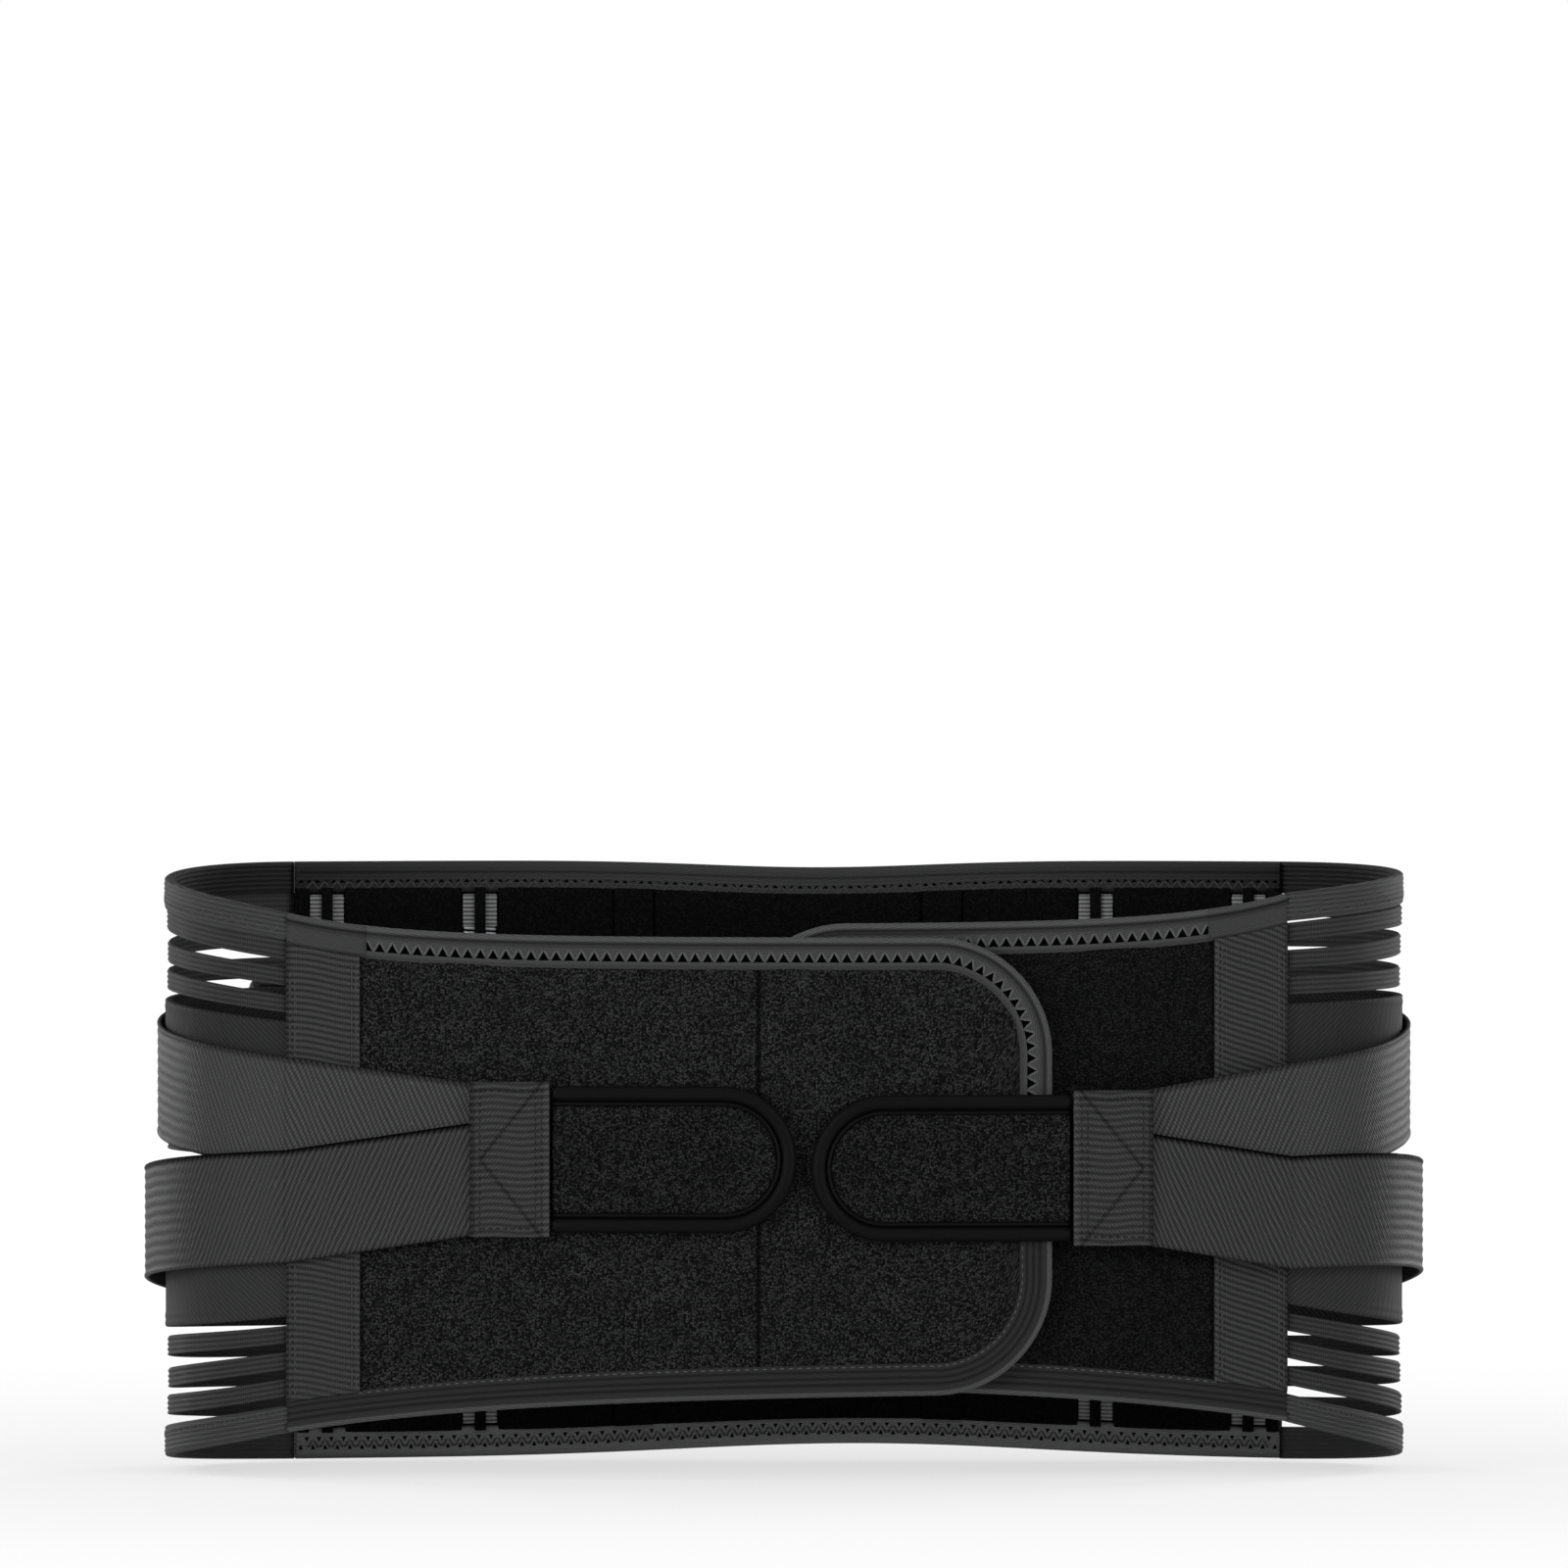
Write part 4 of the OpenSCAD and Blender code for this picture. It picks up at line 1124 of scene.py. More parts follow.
    def bindings(self) -> None:
        """Builds the folded edge bindings with a straight seam outside and a zigzag inside."""
        end, h = PLAN.panel_end - SEAM_GAP, self.binding_h
        for name, z0, sign in (("back_top_binding", self.height - h, 1), ("back_bottom_binding", 0.0, -1)):
            t0, t1 = -self.mesh_t - self.lining_t, 0.1 + self.band_t
            strip = self.strip(-end, end, 171, z0, z0 + h, t0, t1, 2.4)
            rim = (lambda v: v) if sign > 0 else (lambda v: h - v)
            fold = lambda u, v: 0.35 * ridge(rim(v), h - 2.2, 2.2) - 0.25 * ridge(rim(v), h - 4.3, 0.7) \
                + 0.09 * np.sin(2 * np.pi * v / 1.5) - 0.3 * ridge(rim(v), 0.4, 0.7)
            soup = Soup()
            # Painted light and shade: tones of the outer face and of the inner face's middle, and how much
            # darker its ends are. The bottom binding's inner face is painted bright, the top one's inner face
            # as shaded towards its ends.
            face, painted_light, fade = (0.6, 0.95, 0.7) if sign > 0 else (0.24, 1.0, 0.2)
            strip.solid(soup, 44, fold, fold, turn=5, tone=lambda u, v: face,
                        inner_tone=lambda u, v: (painted_light - fade * (u / end) ** 2) / face + 0 * v)
            obj = soup.piece(name, self.fin.rims[sign], "binding_tape")
            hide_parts(name)
            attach(obj, self.body)
            thread = Soup()
            row, run = (1.4, 4.4) if sign > 0 else (3.4, 7.0), SEAM_PITCH * int((end - 2) / SEAM_PITCH)
            strip.zigzag(thread, (-run, run), *row, *RIM_ZIGZAG, outside=False)
            mid = 2.6 if sign > 0 else h - 2.6
            strip.sew(thread, [(-end + 2, mid), (end - 2, mid)], *RIM_STITCH)
            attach(thread.piece(name + "_seam", self.fin.dim_thread, "binding_tape"), self.body)


@dataclass
class CentreBand:
    """The band up the middle of the back, which bridges over the tension straps."""

    width: float
    low: float
    high: float
    thick: float
    warp: Callable[[Array], Callable[[Array], Array]]
    knots: tuple[tuple[float, float], ...] = (
        (-103, 0.1), (-61, 0.1), (-52.5, 4.6), (-8.5, 4.6), (5, 3.9), (19, 4.6), (70, 4.6), (79, 0.1),
        (103, 0.1))

    def lay(self, z: Array) -> Array:
        """Layer of the band's inner face, eased at its bends.

        Args:
            z: Heights.

        Returns:
            The layers.
        """
        fine, z = np.linspace(-PLAN.mid_z, PLAN.mid_z, 413), z - PLAN.mid_z
        t = np.interp(fine, *np.array(self.knots).T)
        t = np.convolve(np.pad(t, 9, "edge"), np.ones(19) / 19, "valid")
        return np.maximum(np.interp(z, fine, t), np.interp(z, *np.array(self.knots).T) - 0.25)

    def points(self, s: Array, z: Array, t: Array) -> Array:
        """Points of the band in the frame.

        Args:
            s: Lengths along the back.
            z: Heights.
            t: Offsets from the inner face.

        Returns:
            The points.
        """
        run = Run.back(s.ravel())
        base, normal = run.base.reshape(*s.shape, 2), run.normal.reshape(*s.shape, 2)
        xy = base + (self.lay(z) + t)[..., None] * normal
        dz = self.warp(s[:, 0])(z) if s.ndim > 1 else self.warp(s)(z[:, None])[:, 0]
        return np.concatenate([xy, (z + dz)[..., None]], -1)

    def solid_to(self, soup: Soup) -> None:
        """Adds the band with cross ribs and a pressed line inside each edge.

        Args:
            soup: Where it goes.
        """
        half, n = self.width / 2, 25
        rows = np.linspace(self.low, self.high, 430)
        s = np.linspace(-half, half, n)
        z, wide = np.meshgrid(rows, s)
        weave = Ribs(2.3, 0.14, 0.0, 0.5, 5.0, 0.85)
        face = self.thick + weave(wide, z) - 0.4 * ridge(np.abs(wide), half - 2.2, 0.8)
        front = self.points(wide, z, face)
        back = self.points(wide, z, 0 * z)
        loop = np.concatenate([front, back[:, ::-1]], 1)
        uv = np.stack([np.concatenate([wide, wide], 1), np.concatenate([z, z[:, ::-1]], 1)], -1)
        tone = np.concatenate([weave.tone(wide, z), np.ones_like(z)], 1)
        soup.grid(loop, uv, tone)

    def sew(self, thread: Soup) -> None:
        """Adds the stitches inside both edges.

        Args:
            thread: Where they go.
        """
        for s in (-self.width / 2 + 1.0, self.width / 2 - 1.0):
            z = np.arange(self.low + 2, self.high - 4, 2.4)
            place = np.full(len(z), s)
            a = self.points(place, z, np.full(len(z), self.thick))
            b = self.points(place, z + 1.6, np.full(len(z), self.thick))
            normal = np.concatenate([Run.back(place).normal, np.zeros((len(z), 1))], 1)
            thread.stitches(a, b, normal, 0.55, 0.3)


@dataclass
class TensionSystem:
    """The four doubled tension straps of the back, folded round the inner bars of the rings."""

    fin: Finishes
    strap_w: float = 38.0
    strap_t: float = 1.3
    ring_z: tuple[float, float] = (PLAN.mid_z + 39.0, PLAN.mid_z - 32.5)
    rise: tuple[float, float] = (11.0, 4.0)
    return_t: float = 1.6
    over_t: float = 3.1
    bar_t: float = 4.77
    fold_r: float = 1.87
    bar_gap: float = 13.0

    def bar(self, side: Side, outer: bool) -> Array:
        """Plan point of a ring's bar on the wearer's right."""
        return self.bend_point(side, self.ring_deg(side) if outer else PLAN.back_deg(side) - 90, self.bar_t)

    def ring_deg(self, side: Side) -> float:
        """Angle of a ring's outer bar round the side bend."""
        half = math.asin(self.bar_gap / 2 / (PLAN.side_r(side) + self.bar_t))
        return PLAN.back_deg(side) - 90 + 2 * math.degrees(half)

    @staticmethod
    def bend_point(side: Side, deg: float, t: float) -> Array:
        """Plan point round a side bend, drawn on the wearer's right.

        Args:
            side: The side whose bend it is.
            deg: Angle from straight sideways.
            t: Layer.

        Returns:
            The point.
        """
        a = math.radians(deg)
        ray = np.array([math.cos(a), math.sin(a)])
        return np.array(PLAN.side_centre(side)) + (PLAN.side_r(side) + t) * ray

    def build(self) -> None:
        """Builds the straps and dresses the rings."""
        for side in Side:
            for level in Level:
                self.strap(side, level)
        for side in Side:
            for level in Level:
                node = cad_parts[f"{level.word}_{side.word}_ring"]
                node.data.materials.clear()
                node.data.materials.append(self.fin.ring)

    def strap(self, side: Side, level: Level) -> None:
        """Builds one strap: outer layer, fold and return layer in one run.

        Args:
            side: The wearer's side.
            level: The upper or the lower strap.
        """
        which = level.place
        deg, ring_z, rise = PLAN.back_deg(side), self.ring_z[which], self.rise[which]
        end = math.radians(deg) * PLAN.arc_r
        arc = lambda s, t: np.array([0, PLAN.arc_c]) + (PLAN.arc_r + t)[:, None] * np.stack(
            [np.sin(s / PLAN.arc_r), -np.cos(s / PLAN.arc_r)], 1)
        s = np.linspace(0.2, end, 110)
        taut = mix(self.over_t, self.bar_t + self.fold_r, np.clip((s - 14) / (end - 14), 0, 1))
        t = taut + 0.35 * np.sin(np.pi * s / end) * np.sin(s / 27.0 + which * 2 + side.value)
        t = np.maximum(t, taut - 0.05)
        a = np.radians(np.linspace(deg - 90, deg + 90, 16))[1:-1]
        ray = np.stack([np.cos(a), np.sin(a)], 1)
        bar = self.bar(side, False)
        back = np.linspace(end, 0.2, 50)
        under = 0 * back + self.return_t
        inner = np.concatenate([arc(s, t), bar + self.fold_r * ray, arc(back, under + self.strap_t)])
        outer = np.concatenate([arc(s, t + self.strap_t), bar + (self.fold_r + self.strap_t) * ray,
                                arc(back, under)])
        zc = np.concatenate([ring_z + rise * (1 - s / end), np.full(len(a) + len(back), ring_z)])
        run = Run.through(PLAN.settle(inner, side), PLAN.settle(outer, side))
        half = self.strap_w / 2
        strip = Strip(run, zc - half, zc + half, 0.0, self.strap_t, 0.5)
        selvedge = lambda u, v: 0.28 * (ridge(v, 0.9, 0.8) + ridge(v, 2 * half - 0.9, 0.8)) + 0 * u
        grain = lambda u, v: 0.05 * np.sin(v * 2.1) + 0.12 * np.sin(u / 31.0) * np.sin(v / 8.0)
        soup = Soup()
        strip.solid(soup, 64, over(selvedge, grain))
        name = f"{level.word}_{side.word}_tension_strap"
        obj = soup.piece(name, self.fin.strap, "ribbed_elastic")
        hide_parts(name)
        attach(obj, "back")


@dataclass
class SideZone:
    """The slit elastic between the back panel and a wing."""

    fin: Finishes
    side: Side
    height: float = PLAN.height
    tape_h: float = 11.0
    strip_h: float = 7.0
    slit_h: float = 3.5
    top_slit_h: float = 0.75
    middle_z: float = 4.5
    gap: float = 0.05
    top_grow: float = 1.3
    strip_t: tuple[float, float] = (-2.4, -0.8)
    band_t: tuple[float, float] = (-2.8, -0.4)
    tape_t: tuple[float, float] = (-3.4, 0.0)
    seam_z: float = 3.4
    seam_half: float = 1.3
    wing_deg: float = 42.0

    @property
    def ends(self) -> tuple[float, float]:
        """Angles of the zone's ends round the side bend."""
        trim = math.degrees(self.gap / PLAN.side_radius)
        return PLAN.back_deg(self.side) - 90 - trim, 90 - PLAN.front_deg(self.side) + trim

    def line(self, z: float, k: Array) -> Array:
        """Height of a line that starts at z at the back and closes in towards the wing seam, at shares k."""
        return mix(z, mix(*Wing.seam_ends(self.side), z / self.height), np.clip(k, 0, 1) ** 2)

    def strip(self, z0: float, z1: float, t0: float, t1: float, edge: float, seed: float = 0.0) -> Strip:
        """A strip round the bend.

        Args:
            z0: Height of its lower edge at the back.
            z1: Height of its upper edge at the back.
            t0: Layer of its inner face.
            t1: Layer of its outer face.
            edge: Radius of its edges.
            seed: Where its small wander starts; none at 0.

        Returns:
            The strip.
        """
        deg = np.linspace(*self.ends, 64)
        run = Run.bend(self.side, deg)
        k = (deg - deg[0]) / (deg[-1] - deg[0])
        calm = np.sin(np.pi * k) ** 0.8
        sway = calm * 0.45 * np.sin(k * 7 + seed) if seed else 0 * k
        drop = calm * 0.5 * np.sin(k * 5 + seed * 2.3) if seed else 0 * k
        return Strip(run, self.line(z0, k) + drop, self.line(z1, k) + drop, t0 + sway, t1 + sway, edge)

    def build(self) -> None:
        """Builds the strips, the two wide bands and the edge tapes."""
        word, step, mid = self.side.word, self.strip_h + self.slit_h, PLAN.mid_z + self.middle_z
        first, top = self.tape_h + self.slit_h, self.height - self.tape_h - self.top_slit_h - self.strip_h
        self.strips(f"{word}_lower_strips", [first + i * step for i in range(3)])
        self.strips(f"{word}_middle_strips", [mid - self.slit_h / 2 - self.strip_h, mid + self.slit_h / 2])
        grow = self.top_grow if self.side is Side.RIGHT else 0.0
        self.strips(f"{word}_upper_strips", [top - i * step for i in range(3)], grow)
        half = step + self.slit_h / 2
        # Painted shade: the upper band is painted darker than the lower one, as shadow from the straps.
        self.bands(((first + 3 * step, mid - half, 0.9), (mid + half, top - 2 * step - self.slit_h, 0.6)))
        # Painted light and shade: the top tape's inner face is painted dark, the bottom tape's painted at
        # full brightness, with no groove shade.
        for name, z0, painted_light in (("top", self.height - self.tape_h, 0.3), ("bottom", 0.0, 2.6)):
            self.tape(name, z0, painted_light)

    def bands(self, spans: Sequence[tuple[float, float, float]]) -> None:
        """Builds the wide bands, with two raised lines along each edge.

        Args:
            spans: Height of the lower and of the upper edge of each band, and its painted light, a share
                below 1 that paints shade.
        """
        soup = Soup()
        for z0, z1, painted_light in spans:
            places = (1.3, 3.9, z1 - z0 - 1.3, z1 - z0 - 3.9)
            cord = lambda u, v: 0.2 * sum(ridge(v, at, 1.2) for at in places)
            weave = Ribs(1.9, 0.13, 0.9, shade=0.75)
            grain = over(weave, cord)
            strip = self.dense(self.strip(z0, z1, *self.band_t, 0.7))
            strip.solid(soup, 80, grain, grain, tone=lambda u, v: painted_light * weave.tone(u, v))
        self.finish(soup, f"{self.side.word}_side_band", self.fin.herringbone, "ribbed_elastic")

    def tape(self, name: str, z0: float, painted_light: float) -> None:
        """Builds one edge tape with its zigzag seam.

        Args:
            name: The edge, top or bottom.
            z0: Height of the tape's lower edge.
            painted_light: Painted light of its inner face against the outer one; below 1 it paints shade,
                above 1 it clears the painted groove shade.
        """
        word, soup, weave = self.side.word, Soup(), Ribs(1.6, 0.14, shade=0.5)
        strip = self.strip(z0, z0 + self.tape_h, *self.tape_t, 1.3)
        strip.solid(soup, 34, weave, weave, turn=4, tone=weave.tone,
                    inner_tone=lambda u, v: painted_light + 0 * (u + v))
        self.finish(soup, f"{word}_{name}_tape", self.fin.edge, "binding_tape")
        mid = self.seam_z if name == "top" else self.tape_h - self.seam_z
        thread, u, half = Soup(), strip.run.u, self.seam_half
        strip.zigzag(thread, (u[0] + 2, u[-1] - 3), mid - half, mid + half, *TAPE_ZIGZAG)
        self.bend(thread.piece(f"{word}_{name}_tape_seam", self.fin.dim_thread, "binding_tape"))

    def strips(self, node: str, lows: Sequence[float], grow: float = 0.0) -> None:
        """Builds the elastic strips of one node.

        Args:
            node: The node they stand for.
            lows: Heights of their lower edges.
            grow: How much taller the first one is.
        """
        soup, weave = Soup(), Ribs(1.75, 0.2, shade=0.6)
        grain = over(weave, lambda u, v: 0.1 * np.sin(u * 3.1))
        for i, z0 in enumerate(lows):
            z1 = z0 + self.strip_h + grow * (i == 0)
            strip = self.strip(z0, z1, *self.strip_t, 0.6, 1.0 + i + len(node))
            # Painted light: the inner faces get a share of 4, which clears their painted groove shade and
            # shows them at full brightness.
            strip.solid(soup, 26, grain, grain, tone=weave.tone, inner_tone=lambda u, v: 4.0 + 0 * (u + v))
        self.finish(soup, node, self.fin.elastic, "ribbed_elastic")

    @staticmethod
    def dense(strip: Strip) -> Strip:
        """The same strip with four times the stations.

        Args:
            strip: The strip.

        Returns:
            The finer strip.
        """
        n = len(strip.run.u)
        fine = np.linspace(0, n - 1, 4 * n)
        pick = lambda a: np.interp(fine, np.arange(n), a)
        pair = lambda a: np.stack([pick(a[:, 0]), pick(a[:, 1])], 1)
        run = Run(pair(strip.run.base), pair(strip.run.normal), pick(strip.run.u))
        return Strip(run, pick(strip.z0), pick(strip.z1), pick(strip.t0), pick(strip.t1), strip.edge)

    def finish(self, soup: Soup, node: str, material: bpy.types.Material, slot: str) -> None:
        """Makes a piece that stands for a node, hides the node and bakes the piece's placement into its mesh.

        Args:
            soup: Its shape.
            node: The node, which names it.
            material: Its finish.
            slot: The record's material slot.
        """
        obj = soup.piece(node, material, slot)
        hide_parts(node)
        self.bend(obj)

    def bend(self, obj: bpy.types.Object) -> None:
        """Bakes a piece's placement into its mesh.

        Args:
            obj: The piece.
        """
        mid = Run.bend(self.side, np.array([self.wing_deg, self.ends[1]]))
        a, b = (Vector((*(p * MM), 0.1)) for p in mid.base)
        self.side.wing
        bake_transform(obj)


@dataclass
class Wing:
    """A front wing: velour panel, rolled binding, seam band and hook patch."""

    fin: Finishes
    side: Side
    tip: float
    tip_r: float = 40.0
    binding_w: float = 11.0
    thick: float = 4.6
    band_w: float = 25.0
    dart_x: Optional[float] = None
    low_rise: float = 14.5
    low_reach: float = 85.0
    top_reach: float = 35.0
    edge_r: float = 2.0
    turns: tuple[float, float] = (2.5, 6.3)
    seam_inside: float = 0.9

    @property
    def word(self) -> str:
        """Start of this wing's node names, which is also its body."""
        return self.side.wing

    @property
    def layer(self) -> float:
        """Layer of the wing's outer face."""
        return PLAN.rise(self.side)

    @staticmethod
    def seam_ends(side: Side) -> tuple[float, float]:
        """Heights of the lower and the upper edge at a wing's side seam."""
        low, high = (14.5, 14.0) if side is Side.RIGHT else (18.0, 7.5)
        return low, PLAN.height - high

    def lines(self, x: Array) -> tuple[Array, Array]:
        """Course of the free edges, steep at the seam and level at the tip.

        Args:
            x: Distances from the middle.

        Returns:
            Heights of the lower and the upper edge.
        """
        low, high = self.seam_ends(self.side)
        gone = x - PLAN.seam_x(self.side)
        drop = 8.0 if self.side is Side.RIGHT else 10.0
        low_line = low + self.low_rise * (1 - np.exp(gone / self.low_reach))
        return low_line, high - drop * (1 - np.exp(gone / self.top_reach))

    def edges(self, x: Array, inset: float) -> tuple[Array, Array]:
        """Edges of the wing with its rounded tip.

        Args:
            x: Distances from the middle.
            inset: How far they are drawn in.

        Returns:
            Heights of the lower and the upper edge.
        """
        xc, r = self.tip_r - self.tip, self.tip_r - inset
        low, high = self.lines(np.maximum(x, xc))
        bulge = np.sqrt(np.clip(r * r - (np.minimum(x, xc) - xc) ** 2, 0, None))
        return low + self.tip_r - bulge, high - self.tip_r + bulge

    def outline(self, inset: float, n: int = 90) -> Array:
        """The free edge from the upper seam round the tip to the lower seam.

        Args:
            inset: How far it is drawn in.
            n: Points on each long edge.

        Returns:
            Points of distance and height.
        """
        xc, r = self.tip_r - self.tip, self.tip_r - inset
        x = np.linspace(PLAN.seam_x(self.side) + SEAM_GAP, xc, n)
        low, high = self.lines(x)
        a = np.radians(np.linspace(90, 180, 24))[1:]
        turn = np.stack([xc + r * np.cos(a), r * np.sin(a)], 1)
        top = np.concatenate([np.stack([x, high - inset], 1), turn + [0, high[-1] - self.tip_r]])
        below = turn * [1, -1] + [0, low[-1] + self.tip_r]
        foot = np.concatenate([np.stack([x, low + inset], 1), below])[::-1]
        span = np.linspace(0, 1, 14)[1:-1, None]
        return np.concatenate([top, mix(top[-1], foot[0], span), foot])

    def place(self, x: Array, z: Array, t: Array) -> Array:
        """Points of the wing in the frame.

        Args:
            x: Distances from the middle.
            z: Heights.
            t: Layers.

        Returns:
            The points.
        """
        shape = np.broadcast(x, z, t).shape
        x, z, t = (np.broadcast_to(a, shape).ravel() for a in (x, z, t))
        r = PLAN.arc_r + t
        xy = np.stack([x, np.sqrt(r * r - x * x) - PLAN.arc_c], 1)
        return np.concatenate([PLAN.settle(xy, self.side), z[:, None]], 1).reshape(*shape, 3)

    def build(self) -> None:
        """Builds the panel, the binding, the seam band and, on the outer wing, the hook patch."""
        self.panel()
        self.binding()
        self.seam_band()
        if self.side is Side.RIGHT:
            self.hook_patch()

    def panel(self) -> None:
        """Builds the padded velour panel, with the dart seam if there is one."""
        inset = self.binding_w - 1.0
        x1, x0 = PLAN.seam_x(self.side) + SEAM_GAP, -self.tip + inset + 0.05
        k = np.linspace(0, 1, 130)
        x = mix(x1, x0, 1 - (1 - k) ** 1.25)
        if self.dart_x is not None:
            x = np.sort(np.concatenate([x, self.dart_x + np.linspace(-2, 2, 11)]))[::-1]
        low, high = self.edges(x, inset)
        dart = (lambda u: ridge(-u, self.dart_x, 1.1)) if self.dart_x is not None else (lambda u: 0 * u)
        relief = lambda u, v: 0.22 * np.sin(u / 17.0 + v / 29.0) * np.sin(v / 13.0) - 0.9 * dart(u)
        soup, t0, t1 = Soup(), self.layer - self.thick + 0.5, self.layer - 0.45
        strip = Strip(Run.front(self.side, x, self.layer), low, high, t0, t1, 0.5)
        # The dart's groove is darkened: painted shade in the groove, standing also for its dark stitching.
        strip.solid(soup, 60, relief, tone=lambda u, v: 1 - 0.8 * dart(u) + 0 * v)
        obj = soup.piece(self.word + "_panel", self.fin.velours[self.side], "loop_velour")
        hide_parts(self.word + "_panel")
        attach(obj, self.word)

    def binding(self) -> None:
        """Builds the rolled binding round the free edge: a zigzag seam above, a straight one below."""
        w, t1, t0 = self.binding_w, self.layer, self.layer - self.thick
        face = np.linspace(w, self.edge_r, 34)
        lip = 0.45 * ridge(face, 2.2, 2.3) - 0.2 * ridge(face, 4.0, 0.8) \
            + 0.07 * np.sin(2 * np.pi * face / 1.5) - 0.35 * ridge(face, w, 0.9)
        a = np.radians(np.linspace(90, -90, 11))[1:-1]
        half = self.thick / 2 + 0.15
        roll = np.stack([self.edge_r * (1 - np.cos(a)), (t0 + t1) / 2 + half * np.sin(a) + 0.15], 1)
        profile = np.concatenate([np.stack([face, t1 + lip], 1), roll,
                                  np.stack([face[::-1], np.full(len(face), t0)], 1)])
        lines = np.stack([self.outline(e) for e in profile[:, 0]], 1)
        points = self.place(lines[..., 0], lines[..., 1], profile[:, 1][None])
        middle = self.outline(5.0)
        u = np.concatenate([[0], np.cumsum(np.linalg.norm(np.diff(middle, axis=0), axis=1))])
        uv = np.stack(np.broadcast_arrays(u[:, None], w - profile[:, 0][None]), -1)
        # Texture heights with this shift lie clear of the needle holes.
        clear = np.array([0.0, 100.0])
        soup, inset = Soup(), profile[:, 0]
        start = int(np.argmax(u > self.band_w + 1.0))
        cut = int(np.argmax(middle[:, 1] < middle[[0, -1], 1].mean()))
        # Painted light and shade on the binding: its rolled edge is painted as a highlight, with painted
        # shade in a line beside it and along its inner edge; the lower length is painted darker, with painted
        # shade at its folds, and the first length by the seam band darker still.
        upper = 0.62 - 0.2 * ease((4.6 - inset) / 1.2) - 0.18 * ease((inset - 9.2) / 0.8) \
            + 0.5 * ease((1.9 - inset) / 0.5) - 0.28 * ridge(inset, 2.6, 0.7)
        folds = sum(ridge(inset, e, 0.7) for e in (4.2, 6.4, 8.6))
        lower = 0.23 + 0.77 * ease((2.0 - inset) / 0.5) - 0.11 * folds
        lengths = ((0, start, clear, 0.78 * upper), (start, cut, 0 * clear, upper),
                   (cut, len(u) - 1, clear, lower))
        for i, j, shift, tone in lengths:
            part = slice(i, j + 1)
            soup.grid(points[part], uv[part] + shift, np.broadcast_to(tone, points[part].shape[:2]))
        obj = soup.piece(self.word + "_binding", self.fin.binding, "binding_tape")
        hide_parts(self.word + "_binding")
        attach(obj, self.word)
        thread = Soup()
        for face_t, sign in ((t1 + 0.02, 1), (t0 - 0.02, -1)):
            self.zigzag(thread, u, (u[start], u[cut]), face_t, sign)
            self.row(thread, u, (u[cut], u[-1] - self.band_w - 1), face_t, sign)
        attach(thread.piece(self.word + "_binding_seam", self.fin.thread, "binding_tape"), self.word)

    def zigzag(self, thread: Soup, u: Array, span: tuple[float, float], t: float, sign: int) -> None:
        """Adds a zigzag seam on one face of the binding.

        Args:
            thread: Where it goes.
            u: Lengths of the outline's points.
            span: Lengths of its start and end.
            t: Layer of the face.
            sign: 1 on the outer face, -1 on the inner one.
        """
        leg = SEAM_PITCH / 2
        step = np.arange(math.ceil(span[0] / leg), int(span[1] / leg) + 1)
        q = step * SEAM_PITCH / 2
        far, near = (self.on(u, q, inside, t, sign) for inside in self.turns)
        odd = (step % 2 == 1)[:, None]
        p, normal = (np.where(odd, a, b) for a, b in zip(near, far))
        thread.stitches(p[:-1], p[1:], normal[:-1], 0.7, 0.35)

    def row(self, thread: Soup, u: Array, span: tuple[float, float], t: float, sign: int) -> None:
        """Adds a straight seam near the inner edge of one face of the binding.

        Args:
            thread: Where it goes.
            u: Lengths of the outline's points.
            span: Lengths of its start and end.
            t: Layer of the face.
            sign: 1 on the outer face, -1 on the inner one.
        """
        pitch, long, sunk = 3.0, 2.0, 0.3
        q, layer = np.arange(*span, pitch), t - sunk * sign
        a, normal = self.on(u, q, self.seam_inside, layer, sign)
        b, _ = self.on(u, q + long, self.seam_inside, layer, sign)
        thread.stitches(a, b, normal, 0.6, 0.35)

    def on(self, u: Array, q: Array, inside: float, t: float, sign: int) -> tuple[Array, Array]:
        """Points on a face of the binding.

        Args:
            u: Lengths of the outline's points.
            q: Lengths of the points wanted.
            inside: Their distance from the binding's inner edge.
            t: Layer of the face.
            sign: 1 on the outer face, -1 on the inner one.

        Returns:
            The points and the normals there.
        """
        line = self.outline(self.binding_w - inside)
        x, z = np.interp(q, u, line[:, 0]), np.interp(q, u, line[:, 1])
        p = self.place(x, z, np.full(len(q), t))
        return p, self.place(x, z, np.full(len(q), t + sign)) - p

    def seam_band(self) -> None:
        """Builds the ribbed band that covers the side seam, with stitches down both edges."""
        x1 = PLAN.seam_x(self.side) + SEAM_GAP
        x = np.linspace(x1, x1 - self.band_w, 31)
        low, high = self.edges(x, self.binding_w - 0.6)
        strip = Strip(Run.front(self.side, x, self.layer), low, high, self.layer - 0.3, self.layer + 0.8, 0.5)
        x0 = x1 - self.band_w
        press = lambda u, v: -0.3 * (ridge(-u, x1 - 2.0, 0.8) + ridge(-u, x0 + 2.0, 0.8)) + 0 * v
        soup = Soup()
        weave = Ribs(2.15, 0.16, 0.26 * self.side.value, 0.5, 5.0, 0.8)
